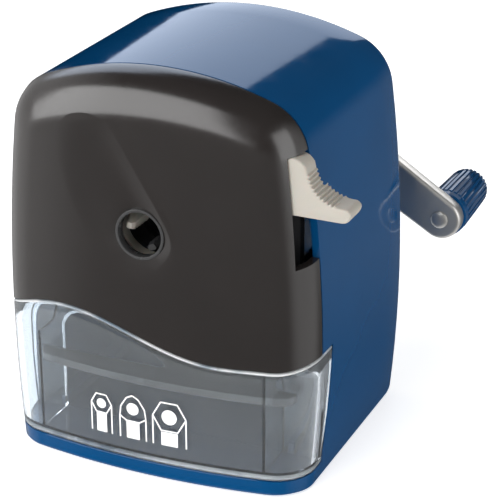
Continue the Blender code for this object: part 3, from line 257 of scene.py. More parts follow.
def charcoal_plastic():
    m = Look("charcoal_satin_plastic", IOR=1.5, Specular_IOR_Level=0.9)
    m.colour(shades((0.0185, 0.0155, 0.0145), 0.07), 40.0)
    m.roughness(0.17, 0.24, 900.0, 4.0)
    m.bump(0.00003, 0.22, 2600.0, 3.0, 0.6)
    return m.material


def ivory_plastic():
    m = Look("ivory_plastic", IOR=1.48, Subsurface_Weight=0.12, Subsurface_Scale=0.002)
    m.colour(shades((0.445, 0.415, 0.365), 0.025), 60.0)
    m.roughness(0.36, 0.5, 700.0, 4.0)
    m.bump(0.00002, 0.25, 1800.0, 3.0)
    return m.material


def clear_plastic():
    m = Look("clear_plastic", IOR=1.47, Transmission_Weight=0.955)
    m.colour(((0.3, (0.87, 0.93, 0.98)), (0.7, (0.90, 0.95, 0.99))), 35.0)
    m.roughness(0.0, 0.035, 220.0, 6.0)
    m.bump(0.00002, 0.12, 90.0, 2.0)
    return m.material


def painted_edge_highlight():
    """The cut edges of the clear parts, where light gathers. Its whitish colour and low transmission are a
    painted highlight for that light.
    """
    m = Look("clear_edge_painted_highlight", IOR=1.47, Transmission_Weight=0.3)
    m.colour(((0.4, (0.30, 0.38, 0.45)), (0.58, (0.97, 0.99, 1.0))), 70.0, 2.0)
    m.roughness(0.12, 0.3, 220.0, 6.0)
    m.bump(0.00003, 0.3, 600.0, 2.0)
    return m.material


def white_ink():
    m = Look("white_print", Roughness=0.55, IOR=1.45)
    m.colour(((0.3, (0.86, 0.87, 0.88)), (0.7, (0.95, 0.95, 0.95))), 900.0, 4.0)
    m.bump(0.00001, 0.3, 2500.0)
    return m.material


def steel(name="bright_steel", low=0.38, high=0.48, tone=(0.66, 0.65, 0.63)):
    m = Look(name, Metallic=0.95)
    m.colour(shades(tone, 0.05), 70.0, 4.0)
    m.roughness(low, high, 260.0, 6.0, 0.6, (1.0, 6.0, 1.0))
    m.bump(0.000006, 0.4, 900.0, 4.0, 0.6, (1.0, 9.0, 1.0))
    return m.material


def dark_plastic(name, tone, low=0.34, high=0.52):
    m = Look(name, IOR=1.48)
    m.colour(shades(tone, 0.1), 60.0)
    m.roughness(low, high, 500.0, 4.0)
    m.bump(0.00003, 0.25, 1500.0, 3.0)
    return m.material


def bronze():
    m = Look("sintered_bronze", Metallic=1.0)
    m.colour(shades((0.47, 0.31, 0.15), 0.12), 1200.0, 4.0)
    m.roughness(0.28, 0.45, 900.0, 4.0)
    m.bump(0.00003, 0.4, 2200.0, 3.0)
    return m.material


def rubber():
    m = Look("black_rubber", IOR=1.5)
    m.colour(shades((0.022, 0.022, 0.023), 0.2), 200.0)
    m.roughness(0.72, 0.9, 600.0, 4.0)
    m.bump(0.00005, 0.5, 1600.0, 4.0)
    return m.material


def floor_paint():
    m = Look("studio_floor", IOR=1.4, Emission_Strength=0.62)
    m.colour(((0.3, (0.93, 0.93, 0.93)), (0.7, (0.95, 0.95, 0.95))), 3.0, 2.0)
    m.roughness(0.55, 0.65, 20.0)
    return m.material


MATERIALS = {
    "blue": (blue_plastic(), "blue_plastic"),
    "charcoal": (charcoal_plastic(), "charcoal_plastic"),
    "ivory": (ivory_plastic(), "ivory_plastic"),
    "clear": (clear_plastic(), "clear_plastic"),
    "ink": (white_ink(), None),
    "steel": (steel(), "steel"),
    "cutter": (steel("ground_steel", 0.22, 0.4, (0.42, 0.42, 0.43)), "cutter_steel"),
    "black": (dark_plastic("black_plastic", (0.016, 0.016, 0.018)), "black_plastic"),
    "grey": (dark_plastic("grey_plastic", (0.07, 0.07, 0.075)), "grey_plastic"),
    "bronze": (bronze(), "bronze"),
    "rubber": (rubber(), "rubber"),
    "trim": (dark_plastic("grey_satin_trim", (0.045, 0.045, 0.046), 0.2, 0.3),
             "charcoal_plastic"),
    # edge: the painted highlight material for the clear parts' edges
    "edge": (painted_edge_highlight(), "clear_plastic"),
}


# Mesh helpers ----------------------------------------------
def build(name, points, faces):
    """A mesh object from points in millimetres."""
    mesh = bpy.data.meshes.new(name)
    mesh.from_pydata([tuple(c * MM for c in p) for p in points], [], [tuple(f) for f in faces])
    form = bmesh.new()
    form.from_mesh(mesh)
    bmesh.ops.recalc_face_normals(form, faces=form.faces)
    form.to_mesh(mesh)
    form.free()
    item = bpy.data.objects.new(name, mesh)
    bpy.context.scene.collection.objects.link(item)
    return item


def declare(item, material, body, *nodes, angle=32.0):
    """Material, smooth shading, the body it rides on and the CAD nodes it stands for."""
    look, slot = MATERIALS[material]
    mesh = item.data
    mesh.materials.clear()
    mesh.materials.append(look)
    mesh.shade_smooth()
    mesh.set_sharp_from_angle(angle=math.radians(angle))
    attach(item, body)
    if nodes:
        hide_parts(*nodes)


def combine(target, tool, operation):
    modifier = target.modifiers.new("combine", "BOOLEAN")
    modifier.operation = operation
    modifier.object = tool
    bpy.context.view_layer.update()
    graph = bpy.context.evaluated_depsgraph_get()
    result = bpy.data.meshes.new_from_object(target.evaluated_get(graph))
    target.modifiers.clear()
    target.data = result
    bpy.data.objects.remove(tool, do_unlink=True)
    return target


def cut(target, *tools):
    for tool in tools:
        combine(target, tool, "DIFFERENCE")
    return target


def join(target, *tools):
    for tool in tools:
        combine(target, tool, "UNION")
    return target


def skin_rings(count, ring_count, closed):
    """Quads between rings of equal count. With closed, the last ring joins the first."""
    faces = []
    last = ring_count if closed else ring_count - 1
    for r in range(last):
        s = (r + 1) % ring_count
        for i in range(count):
            j = (i + 1) % count
            faces.append((r * count + i, r * count + j, s * count + j, s * count + i))
    return faces


def lofts(name, runs):
    """One mesh from (rings, closed) runs. A run that isn't closed has both ends filled."""
    points, faces = [], []
    for rings, closed in runs:
        start, count = len(points), len(rings[0])
        points += [p for ring in rings for p in ring]
        faces += [[start + i for i in face] for face in skin_rings(count, len(rings), closed)]
        if not closed:
            faces += [range(start, start + count), range(len(points) - count, len(points))]
    return build(name, points, faces)


def loft(name, rings, closed=False):
    return lofts(name, [(rings, closed)])


def prism(name, outline, y0, y1):
    """An (x, z) outline pulled along Y."""
    return loft(name, [[(x, y, z) for x, z in outline] for y in (y0, y1)])


def slab(name, outline, x0, x1):
    """A (y, z) outline pulled along X."""
    return loft(name, [[(x, y, z) for y, z in outline] for x in (x0, x1)])


def plate(name, outline, z0, z1):
    """A front_outline pulled along Z."""
    return loft(name, [[(x, y, z) for x, y, _ in outline] for z in (z0, z1)])


def box(name, low, high):
    outline = [(low[0], low[2]), (high[0], low[2]), (high[0], high[2]), (low[0], high[2])]
    return prism(name, outline, low[1], high[1])


def circle(radius, centre, segments):
    steps = [2.0 * math.pi * i / segments for i in range(segments)]
    return [(centre[0] + radius * math.cos(a), centre[1] + radius * math.sin(a)) for a in steps]


def turned(name, profile, centre, segments=72, closed=False):
    """Turn a (y, radius) profile about a Y axis. Closed makes a ring with a bore."""
    rings = [[(x, y, z) for x, z in circle(radius, centre, segments)] for y, radius in profile]
    return loft(name, rings, closed)


def upright(name, x, y, profile, segments=48):
    """Turn a (z, radius) profile about a vertical axis."""
    rings = [[(px, py, z) for px, py in circle(radius, (x, y), segments)] for z, radius in profile]
    return loft(name, rings)


def arc(cx, cy, radius, start, end, steps):
    """Points on an arc of an outline or a profile, with angles in degrees."""
    result = []
    for k in range(steps + 1):
        a = math.radians(start + (end - start) * k / steps)
        result.append((cx + radius * math.cos(a), cy + radius * math.sin(a)))
    return result


# Body form -------------------------------------------------
def right_profile(foot, steps):
    """Side arc, shoulder fillet and crown arc of the right half, as (x, z, nx, nz)."""
    side = Vector((WIDEST_HALF - SIDE_RADIUS, WIDEST_Z))
    crown = Vector((0.0, FRONT_HEIGHT - CROWN_RADIUS))
    reach_side = SIDE_RADIUS - SHOULDER_RADIUS
    reach_crown = CROWN_RADIUS - SHOULDER_RADIUS
    span = crown - side
    along = (reach_side ** 2 - reach_crown ** 2 + span.length ** 2) / (2.0 * span.length)
    across = math.sqrt(reach_side ** 2 - along ** 2)
    unit = span.normalized()
    shoulder = side + unit * along + Vector((-unit.y, unit.x)) * across
    start = math.asin((foot - WIDEST_Z) / SIDE_RADIUS)
    at_side = math.atan2(shoulder.y - side.y, shoulder.x - side.x)
    at_crown = math.atan2(shoulder.y - crown.y, shoulder.x - crown.x)
    runs = ((side, SIDE_RADIUS, start, at_side, steps[0]),
            (shoulder, SHOULDER_RADIUS, at_side, at_crown, steps[1]),
            (crown, CROWN_RADIUS, at_crown, math.pi / 2.0, steps[2]))
    result = []
    for centre, radius, first, last, count in runs:
        for k in range(1 if result else 0, count + 1):
            a = first + (last - first) * k / count
            result.append((centre.x + radius * math.cos(a), centre.y + radius * math.sin(a),
                           math.cos(a), math.sin(a)))
    return result


def full_profile(foot, steps=(12, 12, 12)):
    """Both halves of the profile, from the right foot over the crown to the left foot."""
    right = right_profile(foot, steps)
    return right + [(-x, z, -nx, nz) for x, z, nx, nz in reversed(right[:-1])]


def slope(point):
    """The top rises a little towards the rear, and behind the seam the sides spread."""
    x, y, z = point
    x *= 1.0 + REAR_FLARE * max(0.0, y - SEAM_Y) / (REAR_Y - SEAM_Y)
    return (x, y, z * (1.0 + (REAR_HEIGHT / FRONT_HEIGHT - 1.0) * (y - FRONT_Y) / DEPTH))


def bow(x, inset=0.0):
    """Y of the bowed front face."""
    return FRONT_Y + BOW_RADIUS - math.sqrt((BOW_RADIUS - inset) ** 2 - x ** 2)


def seam_y(z):
    return SEAM_Y - SEAM_LEAN * z


def corner_point(entry, inset, share):
    """A point on the rounded front corner: share 0 is on the side and 1 on the front."""
    x, z, nx, nz = entry
    cx, cz = x - nx * CORNER_RADIUS, z - nz * CORNER_RADIUS
    reach = BOW_RADIUS - CORNER_RADIUS
    cy = FRONT_Y + BOW_RADIUS - math.sqrt(reach ** 2 - cx ** 2)
    side = Vector((nx, 0.0, nz))
    front = Vector((cx / reach, (cy - FRONT_Y - BOW_RADIUS) / reach, 0.0))
    whole = side.angle(front)
    near_side, near_front = math.sin((1.0 - share) * whole), math.sin(share * whole)
    direction = (side * near_side + front * near_front) / math.sin(whole)
    return Vector((cx, cy, cz)) + direction * (CORNER_RADIUS - inset)


def body_rings(inset, foot, rear, rear_radius, profile):
    """Rings from the rear edge round to the edge of the front face."""
    corner_steps, rear_steps = 12, 5
    levels = []
    for k in range(rear_steps + 1):
        a = math.pi / 2.0 * k / rear_steps
        levels.append((rear - rear_radius * (1.0 - math.cos(a)), inset + rear_radius * (1.0 - math.sin(a))))
    levels += [(y, inset) for y in (rear - 12.0, rear - 28.0, rear - 44.0, SEAM_Y)]
    rings = [[(x - nx * shrink, y, max(z - nz * shrink, foot)) for x, z, nx, nz in profile]
             for y, shrink in levels]
    for k in range(corner_steps + 1):
        ring = []
        for entry in profile:
            p = corner_point(entry, inset, k / corner_steps)
            ring.append((p.x, p.y, max(p.z, foot)))
        rings.append(ring)
    return rings


def body_solid(name, inset, foot, rear, rear_radius):
    """The whole outer form, or the same form moved inward, as one closed solid."""
    profile = full_profile(foot)
    rings = body_rings(inset, foot, rear, rear_radius, profile)
    edge = rings[-1]
    for scale in (0.75, 0.5, 0.25):
        ring = []
        for x, _, z in edge:
            px, pz = x * scale, FRONT_CENTRE_Z + (z - FRONT_CENTRE_Z) * scale
            ring.append((px, bow(px, inset), max(pz, foot)))
        rings.append(ring)
    rings = [[slope(p) for p in ring] for ring in rings]
    count = len(profile)
    points = [p for ring in rings for p in ring]
    faces = skin_rings(count, len(rings), False)
    faces.append(range(count))
    hub = len(points)
    points.append(slope((0.0, bow(0.0, inset), FRONT_CENTRE_Z)))
    last = (len(rings) - 1) * count
    faces += [(last + i, last + (i + 1) % count, hub) for i in range(count)]
    return build(name, points, faces)


def behind_seam():
    """A block that holds everything behind the seam."""
    low, high, rear = -20.0, 140.0, 80.0
    outline = ((seam_y(low), low), (rear, low), (rear, high), (seam_y(high), high))
    return slab("keep", outline, -FAR, FAR)


def front_outline(inset=0.0, level=20.0, rear_y=NOTCH_TOP_Y, side_steps=1):
    """Plan of the lower front from left rear to right rear, as (x, y, distance)."""
    bow_steps, corner_steps = 26, 12
    sine = (level - WIDEST_Z) / SIDE_RADIUS
    half = WIDEST_HALF - SIDE_RADIUS * (1.0 - math.sqrt(1.0 - sine ** 2))
    inner_x = half - CORNER_RADIUS
    reach = BOW_RADIUS - CORNER_RADIUS
    pivot_y = FRONT_Y + BOW_RADIUS
    centre_y = pivot_y - math.sqrt(reach ** 2 - inner_x ** 2)
    lean = math.asin(inner_x / reach)
    sweep = math.pi / 2.0 - lean
    right = []
    for k in range(bow_steps + 1):
        a = lean * k / bow_steps
        r = BOW_RADIUS - inset
        right.append((r * math.sin(a), pivot_y - r * math.cos(a), BOW_RADIUS * a))
    start = BOW_RADIUS * lean
    radius = CORNER_RADIUS - inset
    for k in range(1, corner_steps + 1):
        a = sweep * (1.0 - k / corner_steps)
        right.append((inner_x + radius * math.cos(a), centre_y - radius * math.sin(a),
                      start + CORNER_RADIUS * sweep * k / corner_steps))
    start += CORNER_RADIUS * sweep
    for k in range(1, side_steps + 1):
        y = centre_y + (rear_y - centre_y) * k / side_steps
        right.append((half - inset, y, start + abs(y - centre_y)))
    return [(-x, y, -s) for x, y, s in reversed(right[1:])] + right


def wave(distance):
    """Height of the cover's lower edge at a distance along the front outline."""
    for (s0, z0), (s1, z1) in zip(WAVE_KNOTS[:-1], WAVE_KNOTS[1:]):
        if distance <= s1:
            t = (distance - s0) / (s1 - s0)
            return z0 + (z1 - z0) * (1.0 - math.cos(math.pi * t)) / 2.0
    return WAVE_KNOTS[-1][1]


def below_wave():
    """A block that holds everything below the cover's wavy edge."""
    low = -5.0
    outer, inner = (front_outline(inset, rear_y=REAR_Y - 40.0) for inset in (-8.0, 7.0))
    sections = []
    for (ox, oy, s), (ix, iy, _) in zip(outer, inner):
        top = wave(s)
        sections.append([(ox, oy, low), (ox, oy, top), (ix, iy, top), (ix, iy, low)])
    return loft("wave", sections)


# Housing ---------------------------------------------------
def notch_tool(side):
    """Cuts the slanted notch in one side wall, where the drawer's side return sits."""
    seam_top = wave(side * NOTCH_SEAM_DISTANCE)
    outline = [(-FAR, NOTCH_BOTTOM[1]), NOTCH_BOTTOM, (NOTCH_TOP_Y, wave(side * NOTCH_REAR_DISTANCE)),
               (SEAM_Y - 1.4, seam_top), (-FAR, seam_top)]
    return slab("notch", outline, 0.0, side * FAR)


def foot_places():
    return [(side * FOOT_X, y) for y in (FRONT_Y + 16.0, REAR_Y - 12.0) for side in (-1.0, 1.0)]


def heel_tool():
    """Rounds the rear edge of the underside."""
    y, z = REAR_Y - HEEL_RADIUS, HEEL_RADIUS
    outline = [(y, -1.0), (REAR_Y + 1.0, -1.0), (REAR_Y + 1.0, z)]
    return slab("heel", outline + arc(y, z, HEEL_RADIUS, 0.0, -90.0, 12), -FAR, FAR)


def base_plate():
    """The part of the base that runs forward under the drawer, with a rounded lower edge."""
    rings = [[(x, y, z) for x, y, _ in front_outline(inset, z, SEAM_Y + 8.0)] for z, inset in BASE_EDGE]
    return loft("base_plate", rings)


def make_housing():
    """Blue shell and base in one moulding."""
    shell = body_solid("housing_shell", 0.0, 0.0, REAR_Y, 2.0)
    cut(shell, heel_tool())
    cut(shell, body_solid("cavity", HOUSING_WALL, BASE_TOP, REAR_Y - HOUSING_WALL, 0.6))
    keep = join(behind_seam(), box("keep_base", (-60.0, -60.0, -1.0), (60.0, 60.0, BASE_TOP)))
    combine(shell, keep, "INTERSECT")
    join(shell, base_plate())
    for side in (-1.0, 1.0):
        cut(shell, notch_tool(side))
        near, far = sorted(side * x for x in RAIL_X)
        join(shell, box("rail", (near, SEAM_Y + 3.5, BASE_TOP - 1.0), (far, REAR_Y - 15.0, RAIL_TOP)))
    small, large = BOSS_RADII
    low, high = REAR_Y - 3.0, REAR_Y + 0.15
    ring = [(low, large), (high, large), (high, small), (low, small)]
    join(shell, turned("boss", ring, CRANK_AXIS, closed=True))
    hole = [(REAR_Y - 5.0, BUSH_RADIUS + 0.3), (REAR_Y + 5.0, BUSH_RADIUS + 0.3)]
    cut(shell, turned("bush_hole", hole, CRANK_AXIS))
    for x, y in foot_places():
        cut(shell, upright("pocket", x, y, [(-1.0, 6.3), (1.3, 6.3)]))
    declare(shell, "blue", "body", "housing")


def make_pillars():
    """Four hollow pillars that stand on the rear wall and take the bulkhead's screws."""
    profile = [(PILLAR_FRONT_Y, PILLAR_BORE), (PILLAR_FRONT_Y, PILLAR_RADIUS - 0.3),
               (PILLAR_FRONT_Y + 0.3, PILLAR_RADIUS), (REAR_Y - HOUSING_WALL, PILLAR_RADIUS),
               (REAR_Y - HOUSING_WALL, PILLAR_BORE)]
    centres = [(side * PILLAR_X, z) for side in (-1.0, 1.0) for z in PILLAR_HEIGHTS]
    for index, centre in enumerate(centres, 1):
        pillar = turned(f"housing_pillar_{index}", profile, centre, segments=40, closed=True)
        declare(pillar, "blue", "body")


# Cover -----------------------------------------------------
def smooth_closed(points, per_span=24):
    """Closed Catmull-Rom curve through the points."""
    result = []
    count = len(points)
    for i in range(count):
        p0, p1, p2, p3 = (np.array(points[(i + k - 1) % count]) for k in range(4))
        for k in range(per_span):
            t = k / per_span
            result.append(0.5 * (2 * p1 + (p2 - p0) * t + (2 * p0 - 5 * p1 + 4 * p2 - p3) * t ** 2
                                 + (3 * p1 - p0 - 3 * p2 + p3) * t ** 3))
    return np.array(result)


SCOOP = smooth_closed(SCOOP_OUTLINE)
SCOOP_REACH = np.hypot(SCOOP[:, 0], SCOOP[:, 1] - PENCIL_Z)
SCOOP_ANGLE = np.arctan2(SCOOP[:, 1] - PENCIL_Z, SCOOP[:, 0])


def scoop_radius(angle):
    """Distance from the hole's centre to the scoop's outline in a direction."""
    return float(np.interp(angle, SCOOP_ANGLE, SCOOP_REACH, period=2.0 * math.pi))


def ease(t):
    """Smooth step from 0 to 1."""
    t = min(1.0, max(0.0, t))
    return t * t * (3.0 - 2.0 * t)


def scoop_depth(x, z):
    """Depth of the scoop below the bowed front, for a point inside its outline.

    Its edge is crisp on the right and soft on the left. It is shallower below the hole, and it fades
    out towards its upper end.
    """
    spans = np.roll(SCOOP, -1, axis=0) - SCOOP
    offset = np.array((x, z)) - SCOOP
    share = np.clip((offset * spans).sum(1) / (spans ** 2).sum(1), 0.0, 1.0)
    gap = float(np.sqrt(((offset - spans * share[:, None]) ** 2).sum(1)).min())
    heading = math.atan2(SCOOP_END[1] - PENCIL_Z, SCOOP_END[0])
    along = x * math.cos(heading) + (z - PENCIL_Z) * math.sin(heading)
    across = x * math.sin(heading) - (z - PENCIL_Z) * math.cos(heading)
    left = ease((3.0 - across) / 12.0)
    low = ease((PENCIL_Z - 1.0 - z) / 6.0)
    rise = min(1.0, gap / (8.0 + 5.0 * left))
    softness = 0.75 * left
    edge = math.sin(rise * math.pi / 2.0) * (1.0 - softness) + ease(rise) * softness
    fade = min(1.0, max(0.0, (SCOOP_LENGTH + 1.5 - along) / SCOOP_LENGTH))
    return SCOOP_DEPTH * fade * (1.0 - 0.35 * low) * edge


def with_bottom(ring, samples, foot, bulge):
    """Close a ring along the bottom with even points that follow the bow, as far as bulge says."""
    first, last = Vector(ring[0]), Vector(ring[-1])
    extra = []
    for k in range(1, samples):
        p = last.lerp(first, k / samples)
        drop = (bow(last.x) - bow(p.x)) * bulge
        extra.append((p.x, p.y - drop, foot))
    return ring + extra


def cover_skin(inset, foot, profile, hole_radius):
    """Rings from the seam to the edge of the pencil hole, on the outside or the inside."""
    samples, corner_steps, front_steps, scoop_steps = 36, 14, 12, 18
    rings = []
    edges = ((0.0, 0.45), (0.1, 0.16), (0.3, 0.0)) if inset == 0.0 else ((0.0, 0.0),)
    for forward, shrink in edges:
        ring = []
        for x, z, nx, nz in profile:
            px, pz = x - nx * (inset + shrink), max(z - nz * (inset + shrink), foot)
            ring.append((px, seam_y(pz) - SEAM_GAP - forward, pz))
        rings.append(with_bottom(ring, samples, foot, 0.0))
    for k in range(corner_steps + 1):
        share = k / corner_steps
        ring = []
        for entry in profile:
            p = corner_point(entry, inset, share)
            ring.append((p.x, min(p.y, seam_y(p.z) - SEAM_GAP - 0.35), max(p.z, foot)))
        rings.append(with_bottom(ring, samples, foot, share))
    edge = rings[-1]
    angles = [math.atan2(z - PENCIL_Z, x) for x, _, z in edge]
    rims = [scoop_radius(a) for a in angles]
    for k in range(1, front_steps + 1):
        t = k / front_steps
        ring = []
        for (x, _, z), a, r in zip(edge, angles, rims):
            px = x + (r * math.cos(a) - x) * t
            pz = z + (PENCIL_Z + r * math.sin(a) - z) * t
            ring.append((px, bow(px, inset), pz))
        rings.append(ring)
    for k in range(1, scoop_steps + 1):
        t = (k / scoop_steps) ** 1.25
        ring = []
        for a, r in zip(angles, rims):
            rho = r + (hole_radius - r) * t
            px, pz = rho * math.cos(a), PENCIL_Z + rho * math.sin(a)
            ring.append((px, bow(px, inset) + scoop_depth(px, pz), pz))
        rings.append(ring)
    return rings


def lever_slot():
    """Cuts the slot for the lever in the cover's right side."""
    outline = [(SLOT_FRONT_Y, SLOT_BOTTOM_Z[0]), (SLOT_REAR_Y, SLOT_BOTTOM_Z[1]),
               (SLOT_REAR_Y, SLOT_TOP_Z[1]), (SLOT_FRONT_Y, SLOT_TOP_Z[0])]
    return slab("slot", outline, 30.0, 60.0)


def make_cover():
    profile = full_profile(COVER_FOOT, (16, 18, 20))
    hole = GUIDE_RADIUS + 0.06
    outside = cover_skin(0.0, COVER_FOOT, profile, hole)
    inside = cover_skin(COVER_WALL, COVER_FOOT + COVER_WALL, profile, hole)
    rings = [[slope(p) for p in ring] for ring in outside + inside[::-1]]
    cover = loft("cover_shell", rings, closed=True)
    cut(cover, below_wave(), lever_slot())
    declare(cover, "charcoal", "body", "front_cover", angle=28.0)


def make_guide_ring():
    front, rear, edge = GUIDE_FRONT, GUIDE_REAR, 0.14
    profile = [(rear, GUIDE_RADIUS)]
    profile += arc(front + edge, GUIDE_RADIUS - edge, edge, 90.0, 180.0, 3)
    profile += arc(front + edge, BORE_RADIUS + edge, edge, 180.0, 270.0, 3)
    profile += [(rear - 0.3, BORE_RADIUS), (rear, BORE_RADIUS + 0.3)]
    ring = turned("guide_ring", profile, PENCIL_AXIS, segments=96, closed=True)
    declare(ring, "trim", "body", "pencil_guide_ring", angle=50.0)


# Drawer ----------------------------------------------------
def notch_front(z):
    """Rear edge of the drawer's side return at a height, just ahead of the notch."""
    low_y, low_z = NOTCH_BOTTOM
    share = (z - low_z) / (wave(NOTCH_REAR_DISTANCE) - low_z)
    return low_y + (NOTCH_TOP_Y - low_y) * share - 0.4


def drawer_outline(inset=0.0, z=None):
    """Plan of the drawer's front wall and side returns. Its points match at every inset and z."""
    if z is None:
        return front_outline(inset, side_steps=DRAWER_SIDE_STEPS)
    return front_outline(inset, z, notch_front(z), side_steps=DRAWER_SIDE_STEPS)


def drawer_shell():
    """Clear front wall with a rounded rim that follows the wave."""
    rim, height_steps = RIM_RADIUS, 8
    rises = [k / height_steps for k in range(height_steps + 1)]
    stations = [(0.0, share, -rim) for share in rises]
    stations += [(rim * 0.3, 1.0, -rim * 0.3), (rim, 1.0, 0.0), (DRAWER_WALL - rim, 1.0, 0.0),
                 (DRAWER_WALL - rim * 0.3, 1.0, -rim * 0.3)]
    stations += [(DRAWER_WALL, share, -rim) for share in reversed(rises)]
    sections = []
    for index, (_, _, s) in enumerate(drawer_outline()):
        top = wave(s) - WAVE_GAP - RIM_DROP
        section = []
        for inset, share, lift in stations:
            z = DRAWER_BASE + (top + lift - DRAWER_BASE) * share
            x, y, _ = drawer_outline(inset + PRINT_DEPTH, z)[index]
            section.append((x, y, z))
        sections.append(section)
    return loft("drawer_clear", sections)


def drawer_floor():
    outline = front_outline(0.9, DRAWER_BASE + 1.0, NOTCH_BOTTOM[0] - 0.5)
    return plate("floor", outline, DRAWER_BASE, DRAWER_BASE + DRAWER_FLOOR)


def drawer_tray():
    """The bin behind the clear front, cut to the front's bow."""
    half, rear = TRAY_HALF - TRAY_WALL, TRAY_REAR_Y - TRAY_WALL
    tray = box("tray", (-TRAY_HALF, FRONT_Y + 3.0, DRAWER_BASE), (TRAY_HALF, TRAY_REAR_Y, TRAY_TOP))
    low = DRAWER_BASE + DRAWER_FLOOR
    cut(tray, box("hollow", (-half, FRONT_Y - 6.0, low), (half, rear, TRAY_TOP + 5.0)))
    return combine(tray, plate("trim", front_outline(1.0, 5.0, TRAY_REAR_Y + 4.0), -5.0, 60.0), "INTERSECT")


def painted_highlight_bead(name, half_height, height):
    """A rounded whitish bead along the drawer's front wall, in the clear edge material: a painted highlight
    for the light that gathers in the clear plastic's edges.
    """
    rings = []
    for index, (_, _, s) in enumerate(drawer_outline()):
        z = height(s)
        x, y, _ = drawer_outline(BEAD_INSET, z)[index]
        ox, oy, _ = drawer_outline(BEAD_INSET - BEAD_HALF_WIDTH, z)[index]
        rings.append([(x + (ox - x) * out, y + (oy - y) * out, z + half_height * up)
                      for out, up in circle(1.0, (0.0, 0.0), 12)])
    declare(loft(name, rings), "edge", "drawer", angle=60.0)


def make_drawer():
    shell = drawer_shell()
    join(shell, drawer_floor(), drawer_tray())
    ear_y = NOTCH_TOP_Y - 4.0
    for side in (-1.0, 1.0):
        x0, x1 = sorted((side * 33.5, side * (WIDEST_HALF - 2.2)))
        join(shell, box("ear", (x0, ear_y - 1.6, DRAWER_BASE + 0.5), (x1, ear_y, 35.0)))
    declare(shell, "clear", "drawer", "shavings_drawer")
    # The rim and sill beads are painted highlights along the top and the foot of the clear front.
    painted_highlight_bead("drawer_rim", 0.42, lambda s: wave(s) - WAVE_GAP - 0.42)
    painted_highlight_bead("drawer_sill", 0.6, lambda s: DRAWER_BASE + 0.62)


def on_front(x, z, proud):
    """A point of the print, a little proud of the drawer's front."""
    return (x, bow(x) + PRINT_DEPTH - proud, z)


def even_path(line, closed, pitch=1.2):
    """A line with points added, so that the print follows the drawer's bow."""
    corners = line + line[:1] if closed else line
    path = []
    for (x0, z0), (x1, z1) in zip(corners, corners[1:]):
        pieces = max(1, int(math.hypot(x1 - x0, z1 - z0) / pitch))
        path += [(x0 + (x1 - x0) * k / pieces, z0 + (z1 - z0) * k / pieces) for k in range(pieces)]
    return path if closed else path + corners[-1:]


def stroke(line, closed, width=0.42):
    """Sections of a printed line on the drawer's front."""
    path = even_path(line, closed)
    rings = []
    for i, (x, z) in enumerate(path):
        before = path[i - 1] if closed or i > 0 else path[i]
        after = path[(i + 1) % len(path)] if closed or i < len(path) - 1 else path[i]
        dx, dz = after[0] - before[0], after[1] - before[1]
        half = width / 2.0 / math.hypot(dx, dz)
        rings.append([on_front(x - side * dz * half, z + side * dx * half, proud)
                      for side, proud in ((1, 0.0), (1, PRINT_RAISE), (-1, PRINT_RAISE), (-1, 0.0))])
    return rings


def patch(outline):
    """Both faces of a printed area on the drawer's front."""
    return [[on_front(x, z, proud) for x, z in outline] for proud in (0.0, PRINT_RAISE)]


def symbol_head(x, z, half, tip, rounded):
    """End face of a pencil: six-sided, or three-sided with round sides."""
    if rounded:
        right = [(0.45, 0.8), (0.9, 0.1), (1.0, -0.62), (0.5, -0.95)]
        left = [(-u, v) for u, v in reversed(right)]
        return [(x, tip)] + [(x + half * u, z + half * v) for u, v in right + left]
    corners = ((-1.0, 0.0), (-0.5, 0.87), (0.5, 0.87), (1.0, 0.0), (0.5, -0.87), (-0.5, -0.87))
    return [(x + half * u, z + half * v) for u, v in corners]


def make_print():
    """Three plain pencil-end symbols, with a stroke for each edge and a bar for the pencil's face."""
    lines, areas = [], []
    for x, half, tip, rounded in SYMBOLS:
        z, core = tip - half * 1.02, half * 0.5
        lines.append((stroke(symbol_head(x, z, half, tip, rounded), True), True))
        side_top = z - half * (0.62 if rounded else 0.0)
        for edge in (x - half, x + half):
            lines.append((stroke([(edge, side_top), (edge, SYMBOL_FOOT)], False), False))
        core_top = z - half * 0.95
        bar = [(x - core, SYMBOL_FOOT), (x + core, SYMBOL_FOOT), (x + core, core_top), (x - core, core_top)]
        areas += [(patch(circle(core * 0.92, (x, z), 28)), False), (patch(bar), False)]
    declare(lofts("drawer_print_lines", lines), "ink", "drawer")
    declare(lofts("drawer_print_areas", areas), "ink", "drawer")


# Lever -----------------------------------------------------
def thumb_outline(ribs_up, steps=12):
    """Lever end in (x, z), with rounded ribs across the hollow for the thumb, or 0 for none."""
    points = [(38.0, 80.9), (38.0, 95.4)]
    points += [(38.9, 95.95), (40.2, 96.1), (41.3, 95.95), (42.3, 95.5), (43.1, 94.8), (43.7, 94.0)]
    cx, cz, radius = 53.3, 93.9, 9.35
    start, end, ribs, rib_height = 188.0, 261.0, 10, 0.42
    for k in range(ribs):
        for j in range(steps):
            share = (k + j / steps) / ribs
            a = math.radians(start + (end - start) * share)
            lift = rib_height * ribs_up * max(0.0, math.sin(math.pi * (j / steps - 0.34) / 0.66)) ** 0.8
            points.append((cx + (radius - lift) * math.cos(a), cz + (radius - lift) * math.sin(a)))
    points += [(52.4, 84.65), (53.4, 84.55), (54.5, 84.5), (55.2, 84.2), (55.7, 83.65), (55.85, 83.0),
               (55.7, 82.3), (55.2, 81.4), (54.7, 81.0), (54.0, 80.75), (53.2, 80.65)]
    return points


def inward(points, distance):
    """Inward shift of each point of a clockwise outline."""
    result = []
    count = len(points)
    for i in range(count):
        before, after = points[i - 1], points[(i + 1) % count]
        dx, dz = after[0] - before[0], after[1] - before[1]
        length = math.hypot(dx, dz) or 1.0
        result.append((dz / length * distance, -dx / length * distance))
    return result


